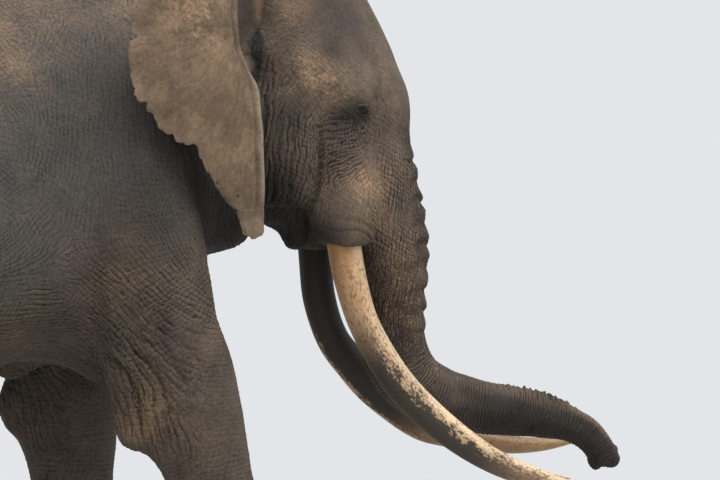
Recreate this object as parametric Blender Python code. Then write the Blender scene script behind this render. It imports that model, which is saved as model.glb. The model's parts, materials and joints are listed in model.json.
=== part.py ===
"""An old African bush elephant bull with very long tusks, life size, walking, its trunk held out ahead.

Metres, +Z up, +X the way the animal faces, +Y its left side. The soles stand on Z = 0.
Masses of flesh are lofted through named stations, fused, sculpted by a few named forms and then
parted into nodes by thin plane cuts.
"""

import math

import bmesh
import bpy
import numpy as np
from mathutils import Matrix, Vector

# ---- driving dimensions --------------------------------------------------------------------------
GAP = 0.0004  # left between neighbouring nodes
VOXEL = 0.024  # grid on which the masses are fused
SMOOTH_PASSES = 60
BODY_TRIANGLES = 4050
FINE_WEIGHT, FINE_FACTOR = 0.12, 1.2  # keep more faces on the head, trunk and legs
HEAD_FROM, HEAD_ABOVE = 0.5, 1.95
TRUNK_FROM = 1.0
LEGS_BELOW = 1.6
RING_SIDES = 28
RINGS_PER_SPAN = 4
EYE_RADIUS = 0.021
EYE_AHEAD, EYE_HEIGHT = 0.917, 2.719
EYE_SINK = 0.012  # how deep the eyeball's centre lies under the skin
FAR = 4.0  # beyond the whole animal

# How far each foot is set forward of the leg's plain stance.
REACH = {"foreleg_left": 0.0, "foreleg_right": 0.58, "hindleg_left": 0.24, "hindleg_right": -0.20}
SHOULDER_PIVOT = 2.50  # heights about which a leg swings
HIP_PIVOT = 2.15

SIDES = {"left": 1, "right": -1}

# Body sections: x, top, bottom, half width, height of the widest line.
TORSO = [
    (0.41, 2.62, 2.28, 0.12, 2.44),
    (0.33, 2.88, 2.16, 0.30, 2.42),
    (0.20, 3.10, 1.93, 0.43, 2.36),
    (0.03, 3.26, 1.73, 0.50, 2.30),
    (-0.25, 3.33, 1.64, 0.56, 2.25),
    (-0.60, 3.30, 1.61, 0.62, 2.20),
    (-1.00, 3.20, 1.53, 0.70, 2.13),
    (-1.45, 3.14, 1.44, 0.745, 2.10),
    (-1.90, 3.17, 1.43, 0.72, 2.16),
    (-2.28, 3.17, 1.56, 0.63, 2.28),
    (-2.60, 3.03, 1.78, 0.49, 2.36),
    (-2.86, 2.78, 2.02, 0.31, 2.40),
    (-2.97, 2.57, 2.22, 0.12, 2.40),
]
BACK_ROUNDNESS, BELLY_ROUNDNESS = 1.75, 2.25

NECK = [
    (0.64, 3.24, 2.40, 0.29, 2.82),
    (0.535, 3.27, 2.275, 0.335, 2.78),
    (0.45, 3.27, 2.155, 0.36, 2.75),
    (0.34, 3.27, 2.130, 0.39, 2.72),
    (0.20, 3.27, 2.05, 0.43, 2.68),
    (0.00, 3.28, 1.98, 0.45, 2.62),
]

# Skull by level: height, front, rear, half width.
SKULL = [
    (3.46, 0.80, 0.66, 0.09),
    (3.41, 0.875, 0.54, 0.19),
    (3.30, 0.965, 0.44, 0.285),
    (3.12, 1.070, 0.38, 0.345),
    (2.93, 1.150, 0.355, 0.375),
    (2.76, 1.188, 0.37, 0.365),
    (2.60, 1.185, 0.41, 0.345),
    (2.44, 1.160, 0.49, 0.31),
    (2.34, 1.110, 0.59, 0.24),
]
SKULL_EGG = 0.24  # how much narrower the skull is in front than behind

# Tubes: x, y, z, half depth in the side view, half width. Those of pairs are given for the left side.
TRUNK = [
    (0.87, 0, 3.00, 0.21, 0.25),
    (0.958, 0, 2.76, 0.245, 0.265),
    (0.991, 0, 2.57, 0.222, 0.250),
    (1.039, 0, 2.38, 0.208, 0.235),
    (1.077, 0, 2.20, 0.200, 0.222),
    (1.105, 0, 2.06, 0.178, 0.202),
    (1.120, 0, 1.93, 0.155, 0.182),
    (1.131, 0, 1.79, 0.142, 0.166),
    (1.150, 0, 1.70, 0.138, 0.158),
    (1.192, 0, 1.617, 0.136, 0.152),
    (1.265, 0, 1.556, 0.132, 0.146),
    (1.367, 0, 1.516, 0.125, 0.138),
    (1.502, 0, 1.487, 0.114, 0.126),
    (1.640, 0, 1.463, 0.104, 0.115),
    (1.777, 0, 1.440, 0.094, 0.105),
    (1.895, 0, 1.413, 0.081, 0.092),
    (1.975, 0, 1.378, 0.074, 0.083),
    (2.030, 0, 1.330, 0.067, 0.074),
    (2.062, 0, 1.275, 0.063, 0.069),
    (2.069, 0, 1.225, 0.059, 0.066),
]
SHEATH = [
    (0.765, 0.17, 2.76, 0.11, 0.10),
    (0.825, 0.225, 2.56, 0.155, 0.13),
    (0.850, 0.262, 2.38, 0.165, 0.135),
    (0.852, 0.278, 2.27, 0.150, 0.125),
    (0.853, 0.284, 2.18, 0.108, 0.105),
]
CHEEK = [
    (0.60, 0.24, 2.92, 0.13, 0.11),
    (0.60, 0.255, 2.72, 0.19, 0.140),
    (0.615, 0.245, 2.50, 0.19, 0.140),
    (0.64, 0.21, 2.34, 0.13, 0.115),
]
CHEEKBONE = [
    (0.97, 0.20, 2.765, 0.05, 0.07),
    (0.90, 0.262, 2.765, 0.075, 0.085),
    (0.80, 0.290, 2.80, 0.085, 0.085),
    (0.68, 0.300, 2.87, 0.095, 0.085),
    (0.53, 0.280, 2.95, 0.100, 0.090),
    (0.42, 0.25, 2.98, 0.08, 0.08),
]
JAW = [
    (0.36, 0, 2.52, 0.22, 0.26),
    (0.50, 0, 2.45, 0.19, 0.25),
    (0.59, 0, 2.37, 0.130, 0.20),
    (0.670, 0, 2.300, 0.082, 0.135),
    (0.710, 0, 2.220, 0.054, 0.095),
    (0.716, 0, 2.145, 0.044, 0.065),
]
FORELEG = [
    (-0.18, 0.20, 3.02, 0.12, 0.08),
    (-0.15, 0.295, 2.86, 0.22, 0.13),
    (-0.13, 0.395, 2.58, 0.28, 0.155),
    (-0.155, 0.440, 2.25, 0.280, 0.175),
    (-0.190, 0.440, 2.00, 0.26, 0.180),
    (-0.210, 0.435, 1.78, 0.25, 0.185),
    (-0.200, 0.430, 1.58, 0.24, 0.185),
    (-0.190, 0.420, 1.42, 0.220, 0.180),
    (-0.170, 0.410, 1.20, 0.178, 0.165),
    (-0.175, 0.400, 0.95, 0.172, 0.156),
    (-0.180, 0.392, 0.70, 0.170, 0.158),
    (-0.190, 0.386, 0.46, 0.160, 0.150),
    (-0.180, 0.382, 0.28, 0.185, 0.172),
    (-0.165, 0.380, 0.12, 0.232, 0.212),
    (-0.160, 0.380, -0.03, 0.245, 0.225),
]
ELBOWS = {
    "left": [
        (-0.27, 0.40, 1.72, 0.14, 0.11),
        (-0.36, 0.41, 1.58, 0.120, 0.105),
        (-0.375, 0.41, 1.49, 0.110, 0.095),
        (-0.365, 0.41, 1.42, 0.090, 0.080),
        (-0.340, 0.41, 1.36, 0.045, 0.050),
    ],
    "right": [
        (-0.27, 0.40, 1.72, 0.14, 0.11),
        (-0.358, 0.41, 1.58, 0.125, 0.105),
        (-0.373, 0.41, 1.50, 0.120, 0.105),
        (-0.392, 0.41, 1.43, 0.115, 0.100),
        (-0.417, 0.41, 1.375, 0.100, 0.090),
        (-0.400, 0.41, 1.320, 0.045, 0.050),
    ],
}
HINDLEG = [
    (-2.20, 0.18, 2.92, 0.24, 0.12),
    (-2.25, 0.34, 2.62, 0.42, 0.205),
    (-2.25, 0.41, 2.25, 0.50, 0.225),
    (-2.21, 0.42, 1.92, 0.45, 0.225),
    (-2.16, 0.415, 1.62, 0.355, 0.210),
    (-2.165, 0.405, 1.36, 0.265, 0.190),
    (-2.24, 0.395, 1.10, 0.200, 0.165),
    (-2.30, 0.385, 0.82, 0.165, 0.145),
    (-2.33, 0.380, 0.55, 0.160, 0.142),
    (-2.315, 0.376, 0.34, 0.168, 0.150),
    (-2.280, 0.374, 0.14, 0.218, 0.182),
    (-2.270, 0.374, -0.03, 0.235, 0.192),
]
TAIL = [
    (-2.72, 0, 2.78, 0.10, 0.10),
    (-2.88, 0, 2.70, 0.092, 0.090),
    (-2.985, 0, 2.56, 0.070, 0.068),
    (-3.025, 0, 2.34, 0.053, 0.050),
    (-3.040, 0, 2.08, 0.043, 0.038),
    (-3.038, 0, 1.80, 0.036, 0.030),
    (-3.025, 0, 1.52, 0.032, 0.024),
    (-3.015, 0, 1.40, 0.055, 0.040),
    (-3.000, 0, 1.26, 0.060, 0.044),
    (-2.985, 0, 1.10, 0.034, 0.026),
    (-2.978, 0, 1.02, 0.010, 0.008),
]
TUSKS = {
    "right": [
        (0.845, -0.274, 2.290, 0.071),
        (0.854, -0.280, 2.169, 0.071),
        (0.880, -0.295, 2.021, 0.068),
        (0.928, -0.312, 1.852, 0.063),
        (1.000, -0.328, 1.703, 0.065),
        (1.080, -0.342, 1.580, 0.067),
        (1.190, -0.352, 1.466, 0.065),
        (1.320, -0.358, 1.359, 0.061),
        (1.471, -0.360, 1.263, 0.053),
        (1.628, -0.358, 1.199, 0.046),
        (1.828, -0.350, 1.144, 0.036),
        (2.030, -0.336, 1.123, 0.025),
        (2.192, -0.320, 1.133, 0.010),
    ],
    "left": [
        (0.850, 0.274, 2.290, 0.067),
        (0.862, 0.280, 2.150, 0.068),
        (0.887, 0.300, 1.950, 0.068),
        (0.948, 0.320, 1.777, 0.067),
        (1.028, 0.330, 1.652, 0.065),
        (1.128, 0.337, 1.545, 0.062),
        (1.320, 0.340, 1.406, 0.057),
        (1.461, 0.338, 1.358, 0.053),
        (1.604, 0.334, 1.336, 0.047),
        (1.751, 0.326, 1.315, 0.039),
        (1.892, 0.314, 1.316, 0.028),
        (2.030, 0.300, 1.331, 0.010),
    ],
}
# Ear outline in side view, from the root's top round the back: how far ahead of EAR_ORIGIN and
# how far above it.
EAR_ORIGIN = {"left": (0.06, 2.165), "right": (0.0, 2.20)}
EAR_OUTLINE = [
    (0.500, 1.06),
    (0.38, 1.15),
    (0.20, 1.19),
    (0.04, 1.14),
    (-0.08, 1.02),
    (-0.145, 0.87),
    (-0.163, 0.72),
    (-0.132, 0.55),
    (-0.040, 0.445),
    (0.055, 0.350),
    (0.130, 0.345),
    (0.175, 0.265),
    (0.250, 0.160),
    (0.312, 0.100),
    (0.345, 0.030),
    (0.378, -0.012),
    (0.412, -0.022),
    (0.443, 0.008),
    (0.458, 0.060),
    (0.460, 0.200),
    (0.456, 0.400),
    (0.445, 0.580),
    (0.425, 0.680),
    (0.440, 0.780),
    (0.500, 0.84),
    (0.515, 0.95),
]
EAR_CENTRE = (0.20, 0.75)
EAR_RINGS = 3
EAR_STEPS = 1  # points to each span of the outline
EAR_RIM, EAR_MIDDLE = 0.018, 0.036  # thickness
EAR_SIDE = 0.505  # how far out the ear's front edge lies
EAR_FRONT = 0.460  # where that edge is, ahead of EAR_ORIGIN
EAR_SPREAD = 0.27  # how much further out it lies for each metre back
EAR_BOW = 0.035
EAR_BOW_MIDDLE = (0.15, 0.75)
EAR_BOW_RATE = (4.0, 1.3)  # radians of the bow's curve to a metre, ahead and up
EAR_TUCK = 0.25  # how far the root turns in from the ear's sheet to the head
# Where it turns in: up and ahead.
EAR_FOLD = [(0.58, 0.440), (0.62, 0.415), (0.68, 0.390), (0.75, 0.356), (0.85, 0.340), (1.00, 0.336)]
EAR_FOLD_FROM = 0.62  # height above which it turns in
EAR_FOLD_WIDTH = (0.020, 0.035)
EAR_STEP = 0.01  # over which the sheet's slope is taken

# Sculpted forms of the flesh on both sides: centre of the left one, radii, push along the normal.
FORMS = {
    "temple hollow": ((0.70, 0.30, 3.12), (0.20, 0.30, 0.15), -0.035),
    "hollow behind the eye": ((0.74, 0.36, 2.70), (0.13, 0.20, 0.10), -0.018),
    "brow": ((0.93, 0.33, 2.83), (0.10, 0.15, 0.055), 0.016),
    "lids": ((EYE_AHEAD, 0.36, EYE_HEIGHT), (0.060, 0.12, 0.050), 0.014),
    "fold before the cheek": ((0.76, 0.33, 2.48), (0.045, 0.20, 0.16), -0.020),
    "nasal dip": ((1.22, 0.0, 2.66), (0.12, 0.30, 0.09), -0.008),
    "crease before the shoulder": ((0.30, 0.50, 2.55), (0.10, 0.30, 0.45), -0.025),
    "crease behind the shoulder": ((-0.50, 0.62, 2.15), (0.10, 0.35, 0.45), -0.022),
    "flank hollow": ((-1.55, 0.70, 2.55), (0.22, 0.30, 0.28), -0.030),
    "loin hollow": ((-1.35, 0.35, 3.02), (0.45, 0.25, 0.18), -0.020),
    "hip bone": ((-1.78, 0.42, 2.95), (0.16, 0.20, 0.14), 0.025),
}

# Nails: the leg's stations, where they sit round the foot in degrees, and their half depth, width
# and height.
NAILS = {
    "foreleg": (FORELEG, (-54, -18, 18, 54), (0.022, 0.056, 0.052)),
    "hindleg": (HINDLEG, (-40, 0, 40), (0.020, 0.050, 0.048)),
}
NAIL_REACH = 1.0  # how far out a nail's middle lies, as a share of the foot's half width there

# How finely the small solids are divided.
TUSK_SIDES = 10
TAIL_SIDES = 8
EYE_SEGMENTS, EYE_RINGS = 8, 6
NAIL_SEGMENTS, NAIL_RINGS = 6, 3
SCULPT_PASSES = 2  # of smoothing, after the forms are pushed in and out

# Cuts that part the body: node, lowest and highest corner of a box, how far it tilts nose down in degrees.
CUTS = [
    ("trunk_5", (1.93, -0.3, 1.05), (2.60, 0.3, 1.75), 25),
    ("trunk_4", (1.59, -0.3, 1.20), (2.40, 0.3, 1.75), 10),
    ("trunk_3", (1.24, -0.3, 1.30), (2.20, 0.3, 1.84), 38),
    ("trunk_2", (0.85, -0.3, 1.20), (2.00, 0.3, 1.93), 0),
    ("trunk_1", (0.82, -0.28, 1.60), (1.60, 0.28, 2.15), 0),
    ("jaw", (0.50, -0.13, 1.90), (0.79, 0.13, 2.27), 6),
    ("head", (0.43, -1.0, 1.80), (2.00, 1.0, 3.80), -6),
    ("neck", (0.17, -1.0, 1.70), (1.50, 1.0, 3.80), -20),
]
CHEST_CUT = ((-0.66, -1, 1), (2, 1, FAR))
BELLY_CUT = ((-1.70, -1, 1), (2, 1, FAR))
TUFT_CUT = ((-FAR, -1, 0), (0, 1, 1.52))

# Legs: rear and front of the box that holds one, its top, the middle joint, the ankle.
LEG_CUTS = {
    "foreleg": (-0.60, 0.45, 1.60, 1.22, 0.34),
    "hindleg": (-2.75, -1.70, 1.60, 1.12, 0.30),
}
LEG_INNER = 0.12  # clear of the middle of the belly

COLOURS = {
    "hide": ((0.155, 0.120, 0.093, 1), 0.85),
    "ear_hide": ((0.205, 0.155, 0.115, 1), 0.85),
    "ivory": ((0.62, 0.50, 0.33, 1), 0.45),
    "eye": ((0.030, 0.018, 0.012, 1), 0.08),
    "hair": ((0.020, 0.018, 0.016, 1), 0.7),
}


# ---- helpers -------------------------------------------------------------------------------------
def clear_scene():
    for old in list(bpy.data.objects):
        bpy.data.objects.remove(old)


def material(name):
    found = bpy.data.materials.get(name)
    if found:
        return found
    made = bpy.data.materials.new(name)
    made.use_nodes = True
    shader = made.node_tree.nodes["Principled BSDF"]
    shader.inputs["Base Color"].default_value, shader.inputs["Roughness"].default_value = COLOURS[name]
    return made


def to_object(name, shape, finish="hide"):
    """Links a bmesh as an object of triangles, its faces pointing out."""
    bmesh.ops.triangulate(shape, faces=shape.faces)
    bmesh.ops.recalc_face_normals(shape, faces=shape.faces)
    mesh = bpy.data.meshes.new(name)
    shape.to_mesh(mesh)
    shape.free()
    mesh.shade_smooth()
    made = bpy.data.objects.new(name, mesh)
    bpy.context.scene.collection.objects.link(made)
    made.data.materials.append(material(finish))
    return made


def curved(stations, steps):
    """Catmull-Rom points through the stations, with steps to each span."""
    given = np.array(stations, float)
    padded = np.vstack([2 * given[0] - given[1], given, 2 * given[-1] - given[-2]])
    made = []
    for i in range(1, len(padded) - 2):
        before, start, end, after = padded[i - 1 : i + 3]
        for t in np.arange(steps) / steps:
            made.append(
                0.5
                * (
                    2 * start
                    + (end - before) * t
                    + (2 * before - 5 * start + 4 * end - after) * t**2
                    + (3 * start - before - 3 * end + after) * t**3
                )
            )
    return np.array([*made, given[-1]])


def fill_between(shape, first, second):
    """Quads between two closed loops of vertices."""
    for i, vertex in enumerate(first):
        after = (i + 1) % len(first)
        shape.faces.new((vertex, first[after], second[after], second[i]))


def skin_rings(shape, rings):
    """Faces between rings of points, with a fan at each end."""
    loops = [[shape.verts.new(point) for point in ring] for ring in rings]
    for first, second in zip(loops, loops[1:]):
        fill_between(shape, first, second)
    for loop in (loops[0], loops[-1]):
        middle = shape.verts.new(sum((v.co for v in loop), Vector()) / len(loop))
        for i, vertex in enumerate(loop):
            shape.faces.new((vertex, loop[(i + 1) % len(loop)], middle))


def angles(sides):
    return np.arange(sides) * math.tau / sides


def signed_power(values, power):
    return np.sign(values) * np.abs(values) ** power


def barrel(name, sections):
    """A body mass along X, its back more pointed than its belly."""
    shape = bmesh.new()
    rings = []
    turn = angles(RING_SIDES)
    for x, top, bottom, half_width, widest in curved(sections, RINGS_PER_SPAN):
        up = np.sin(turn) > 0
        power = np.where(up, 2 / BACK_ROUNDNESS, 2 / BELLY_ROUNDNESS)
        reach = np.where(up, top - widest, widest - bottom)
        y = half_width * signed_power(np.cos(turn), power)
        z = widest + reach * signed_power(np.sin(turn), power)
        rings.append([(x, a, b) for a, b in zip(y, z)])
    skin_rings(shape, rings)
    return to_object(name, shape)


def skull(name, levels):
    """The head's main mass, stacked by level."""
    shape = bmesh.new()
    rings = []
    turn = angles(RING_SIDES)
    for z, front, rear, half_width in curved(levels, RINGS_PER_SPAN):
        x = (front + rear) / 2 + (front - rear) / 2 * np.cos(turn)
        y = half_width * np.sin(turn) * (1 - SKULL_EGG * np.cos(turn))
        rings.append([(a, b, z) for a, b in zip(x, y)])
    skin_rings(shape, rings)
    return to_object(name, shape)


def tube(name, stations, finish="hide", sides=RING_SIDES, steps=RINGS_PER_SPAN):
    """A limb whose sections stand square to its centre line; Y is the section's width."""
    shape = bmesh.new()
    line = curved(stations, steps)
    centres = line[:, :3]
    ahead = np.gradient(centres, axis=0)
    rings = []
    for centre, direction, (half_depth, half_width) in zip(centres, ahead, line[:, 3:]):
        across = np.array([0.0, 1.0, 0.0])
        across -= direction * (across @ direction) / (direction @ direction)
        across /= np.linalg.norm(across)
        deep = np.cross(direction / np.linalg.norm(direction), across)
        rings.append(
            [
                centre + deep * half_depth * math.cos(turn) + across * half_width * math.sin(turn)
                for turn in angles(sides)
            ]
        )
    skin_rings(shape, rings)
    return to_object(name, shape, finish)


def on_side(stations, side):
    return [(x, side * y, *rest) for x, y, *rest in stations]


def swung(stations, reach, pivot):
    """Leg stations carried forward below the pivot, so that the foot lands reach ahead."""
    made = []
    for x, y, z, *rest in stations:
        share = max(0.0, min(1.0, (pivot - z) / pivot))
        made.append((x + reach * math.sin(share * math.pi / 2), y, z, *rest))
    return made


# ---- the body as one mass ------------------------------------------------------------------------
def masses():
    yield barrel("torso mass", TORSO)
    yield barrel("neck mass", NECK)
    yield skull("skull mass", SKULL)
    yield tube("trunk mass", TRUNK)
    yield tube("jaw mass", JAW)
    for name, side in SIDES.items():
        yield tube(f"sheath mass {name}", on_side(SHEATH, side))
        yield tube(f"cheek mass {name}", on_side(CHEEK, side))
        yield tube(f"cheekbone mass {name}", on_side(CHEEKBONE, side))
        fore = REACH[f"foreleg_{name}"]
        yield tube(f"foreleg mass {name}", swung(on_side(FORELEG, side), fore, SHOULDER_PIVOT))
        yield tube(f"elbow mass {name}", swung(on_side(ELBOWS[name], side), fore, SHOULDER_PIVOT))
        hind = REACH[f"hindleg_{name}"]
        yield tube(f"hindleg mass {name}", swung(on_side(HINDLEG, side), hind, HIP_PIVOT))


def applied(made, *kinds):
    """Adds modifiers given as (kind, settings) and applies them."""
    for kind, settings in kinds:
        modifier = made.modifiers.new(kind, kind)
        for key, value in settings.items():
            setattr(modifier, key, value)
    graph = bpy.context.evaluated_depsgraph_get()
    mesh = bpy.data.meshes.new_from_object(made.evaluated_get(graph))
    made.modifiers.clear()
    made.data = mesh
    return made


def joined(name, pieces):
    shape = bmesh.new()
    for piece in pieces:
        shape.from_mesh(piece.data)
        bpy.data.objects.remove(piece)
    return to_object(name, shape)


def relax(mesh, passes):
    """Taubin smoothing: it rounds the creases where masses meet and keeps the volume."""
    points = np.empty(len(mesh.vertices) * 3)
    mesh.vertices.foreach_get("co", points)
    points = points.reshape(-1, 3)
    edges = np.empty(len(mesh.edges) * 2, int)
    mesh.edges.foreach_get("vertices", edges)
    first, second = edges.reshape(-1, 2).T
    count = np.bincount(edges, minlength=len(points))[:, None]
    for _ in range(passes):
        for factor in (0.6, -0.62):
            total = np.zeros_like(points)
            np.add.at(total, first, points[second])
            np.add.at(total, second, points[first])
            points += factor * (total / count - points)
    mesh.vertices.foreach_set("co", points.ravel())
    mesh.update()


def sculpt(mesh):
    """Pushes each named form in or out along the normals, on both sides."""
    points = np.array([v.co for v in mesh.vertices])
    normals = np.array([v.normal for v in mesh.vertices])
    shift = np.zeros(len(points))
    for centre, radii, push in FORMS.values():
        for side in (1, -1) if centre[1] else (1,):
            offset = (points - np.array(centre) * (1, side, 1)) / np.array(radii)
            shift += push * np.exp(-(offset**2).sum(1))
    mesh.vertices.foreach_set("co", (points + normals * shift[:, None]).ravel())
    mesh.update()


def fused_body():
    body = joined("body", masses())
    applied(body, ("REMESH", {"mode": "VOXEL", "voxel_size": VOXEL}))
    relax(body.data, passes=SMOOTH_PASSES)
    sculpt(body.data)
    relax(body.data, passes=SCULPT_PASSES)
    keep = body.vertex_groups.new(name="fine")
    for vertex in body.data.vertices:
        x, y, z = vertex.co
        fine = (x > HEAD_FROM and z > HEAD_ABOVE) or x > TRUNK_FROM or z < LEGS_BELOW
        keep.add([vertex.index], FINE_WEIGHT if fine else 0.0, "REPLACE")
    applied(
        body,
        (
            "DECIMATE",
            {
                "ratio": BODY_TRIANGLES / (2 * len(body.data.polygons)),
                "vertex_group": "fine",
                "invert_vertex_group": True,
                "vertex_group_factor": FINE_FACTOR,
                "use_collapse_triangulate": True,
            },
        ),
    )
    return body


# ---- ears, tusks, eyes, tail ---------------------------------------------------------------------
def ear(name, side):
    """A dished sheet that hangs over the neck, thin at its rim, its root turned in to the head."""
    outline = curved(EAR_OUTLINE + EAR_OUTLINE[:1], EAR_STEPS)[:-1]
    shape = bmesh.new()
    rims = []
    for face in (1, -1):
        loops = []
        for ring in range(EAR_RINGS, 0, -1):
            share = ring / EAR_RINGS
            inward = [np.array(EAR_CENTRE) + (point - EAR_CENTRE) * share for point in outline]
            loops.append([shape.verts.new(ear_point(p, share, face, name)) for p in inward])
        for first, second in zip(loops, loops[1:]):
            fill_between(shape, first, second)
        middle = shape.verts.new(ear_point(EAR_CENTRE, 0, face, name))
        inner = loops[-1]
        for i, vertex in enumerate(inner):
            shape.faces.new((vertex, inner[(i + 1) % len(inner)], middle))
        rims.append(loops[0])
    fill_between(shape, *rims)
    shape.transform(Matrix.Diagonal((1, side, 1, 1)))
    return to_object(f"ear_{name}", shape, "ear_hide")


def ear_point(place, share, face, name):
    """A point of the ear's outer or inner face, share of the way from its centre to its outline."""
    ahead, height = place
    step = EAR_STEP
    slope_ahead = (ear_lateral(ahead + step, height) - ear_lateral(ahead - step, height)) / (2 * step)
    slope_up = (ear_lateral(ahead, height + step) - ear_lateral(ahead, height - step)) / (2 * step)
    out = Vector((-slope_ahead, 1, -slope_up)).normalized()
    thick = EAR_RIM + (EAR_MIDDLE - EAR_RIM) * (1 - share**3)
    start_x, start_z = EAR_ORIGIN[name]
    return Vector((start_x + ahead, ear_lateral(ahead, height), start_z + height)) + out * face * thick / 2


def ear_lateral(ahead, height):
    """How far out the ear's sheet lies at a place of its outline's plane."""
    fold_ahead = np.interp(height, *zip(*EAR_FOLD))
    wide, high = EAR_FOLD_WIDTH
    root = 1 / (1 + math.exp((fold_ahead - ahead) / wide))
    root /= 1 + math.exp((EAR_FOLD_FROM - height) / high)
    spread = EAR_SIDE + EAR_SPREAD * (EAR_FRONT - ahead)
    bow = EAR_BOW
    for at, middle, rate in zip((ahead, height), EAR_BOW_MIDDLE, EAR_BOW_RATE):
        bow *= math.cos((at - middle) * rate)
    return spread + bow - EAR_TUCK * root


def tusk(name):
    stations = [(x, y, z, radius, radius) for x, y, z, radius in TUSKS[name]]
    return tube(f"tusk_{name}", stations, "ivory", sides=TUSK_SIDES, steps=1)


def eye(name, side, body):
    """An eyeball, let into the side of the head."""
    start = Vector((EYE_AHEAD, side * 1.0, EYE_HEIGHT))
    found, skin, normal, face = body.ray_cast(start, Vector((0, -side, 0)))
    shape = bmesh.new()
    place = Matrix.Translation(skin - normal * EYE_SINK)
    bmesh.ops.create_uvsphere(
        shape, u_segments=EYE_SEGMENTS, v_segments=EYE_RINGS, radius=EYE_RADIUS, matrix=place
    )
    return to_object(f"eye_{name}", shape, "eye")


def add_nails(body):
    """Blunt nails round the front of each foot, joined to it."""
    for leg, (stations, spread, size) in NAILS.items():
        for name, side in SIDES.items():
            x, y, z, deep, wide = swung(on_side(stations, side), REACH[f"{leg}_{name}"], HIP_PIVOT)[-2]
            for turn in spread:
                shape = bmesh.new()
                flat = Matrix.Diagonal((*size, 1))
                bmesh.ops.create_uvsphere(
                    shape, u_segments=NAIL_SEGMENTS, v_segments=NAIL_RINGS, radius=1, matrix=flat
                )
                out = math.radians(turn)
                shape.transform(Matrix.Rotation(out, 4, "Z"))
                ahead = x + deep * NAIL_REACH * math.cos(out)
                aside = y + wide * NAIL_REACH * math.sin(out)
                shape.transform(Matrix.Translation((ahead, aside, size[2])))
                nail = to_object("nail", shape)
                boolean(body, nail, "UNION")
                bpy.data.objects.remove(nail)


# ---- cuts ----------------------------------------------------------------------------------------
def boolean(target, other, operation):
    applied(target, ("BOOLEAN", {"operation": operation, "object": other, "solver": "EXACT"}))


def duplicate(source, name):
    copy = bpy.data.objects.new(name, source.data.copy())
    bpy.context.scene.collection.objects.link(copy)
    return copy


def make_room(target, source):
    """Cuts target back from source, with a gap."""
    room = duplicate(source, "room")
    applied(room, ("DISPLACE", {"strength": GAP, "mid_level": 0.0}))
    boolean(target, room, "DIFFERENCE")
    bpy.data.objects.remove(room)


def block(low, high, tilt=0.0):
    """A box between two corners, tilted nose down about the middle of its rear face."""
    shape = bmesh.new()
    low, high = Vector(low), Vector(high)
    place = Matrix.Translation((low + high) / 2) @ Matrix.Diagonal((*(high - low), 1))
    bmesh.ops.create_cube(shape, size=1, matrix=place)
    pivot = Matrix.Translation((low.x, 0, (low.z + high.z) / 2))
    shape.transform(pivot @ Matrix.Rotation(math.radians(tilt), 4, "Y") @ pivot.inverted())
    return to_object("cutter", shape)


def part_off(source, name, low, high, tilt=0.0):
    """Makes what lies in a box a node of its own, and takes it away from source with a gap."""
    piece = duplicate(source, name)
    inside = block(low, high, tilt)
    boolean(piece, inside, "INTERSECT")
    bpy.data.objects.remove(inside)
    edge = Vector((GAP, GAP, GAP))
    outside = block(Vector(low) - edge, Vector(high) + edge, tilt)
    boolean(source, outside, "DIFFERENCE")
    bpy.data.objects.remove(outside)
    return piece


def part_legs(body):
    """Each leg comes away under the belly, then is parted at its middle joint and above its foot."""
    for leg, (rear, front, top, joint, ankle) in LEG_CUTS.items():
        for name, side in SIDES.items():
            shift = REACH[f"{leg}_{name}"] / 2
            inner, outer = sorted((side * LEG_INNER, side * FAR))
            low = (rear + shift, inner, -1)
            whole = part_off(body, f"{leg}_{name}_upper", low, (front + shift, outer, top))
            part_off(whole, f"{leg}_{name}_foot", (-FAR, inner, -1), (FAR, outer, ankle))
            part_off(whole, f"{leg}_{name}_lower", (-FAR, inner, -1), (FAR, outer, joint))


def stand_flat(body):
    """Cuts the soles flat at the floor."""
    floor = block((-FAR, -FAR, -1), (FAR, FAR, 0))
    boolean(body, floor, "DIFFERENCE")
    bpy.data.objects.remove(floor)


def centre_on_floor():
    """Moves everything so that the middle of its box stands over the origin."""
    solids = [thing for thing in bpy.data.objects if thing.type == "MESH"]
    corners = np.array([corner for solid in solids for corner in solid.bound_box])
    middle = (corners.min(0) + corners.max(0)) / 2
    for solid in solids:
        solid.data.transform(Matrix.Translation((-middle[0], -middle[1], 0)))


def build():
    clear_scene()
    body = fused_body()
    stand_flat(body)
    add_nails(body)
    let_in = [tube("tail", TAIL, sides=TAIL_SIDES, steps=1)]
    for name, side in SIDES.items():
        let_in += [ear(name, side), tusk(name), eye(name, side, body)]
    for piece in let_in:
        make_room(body, piece)
    tuft = part_off(let_in[0], "tail_tuft", *TUFT_CUT)
    tuft.data.materials.clear()
    tuft.data.materials.append(material("hair"))
    for name, *cut in CUTS:
        part_off(body, name, *cut)
    part_legs(body)
    part_off(body, "chest", *CHEST_CUT)
    part_off(body, "belly", *BELLY_CUT)
    body.name = "rump"
    centre_on_floor()


build()
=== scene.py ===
"""Looks of the old elephant bull: one wrinkled skin over all the flesh, wet eyes, stained ivory, nails and hair.

Places are in metres in the body's own frame: X ahead from the withers, Y to its left, Z up from the floor. The
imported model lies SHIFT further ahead, and the skin moves there once its forms are worked out.
"""

import json
import math
from concurrent.futures import ThreadPoolExecutor
from itertools import product

import bpy
import numpy as np
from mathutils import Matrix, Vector
from mathutils.bvhtree import BVHTree

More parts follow.
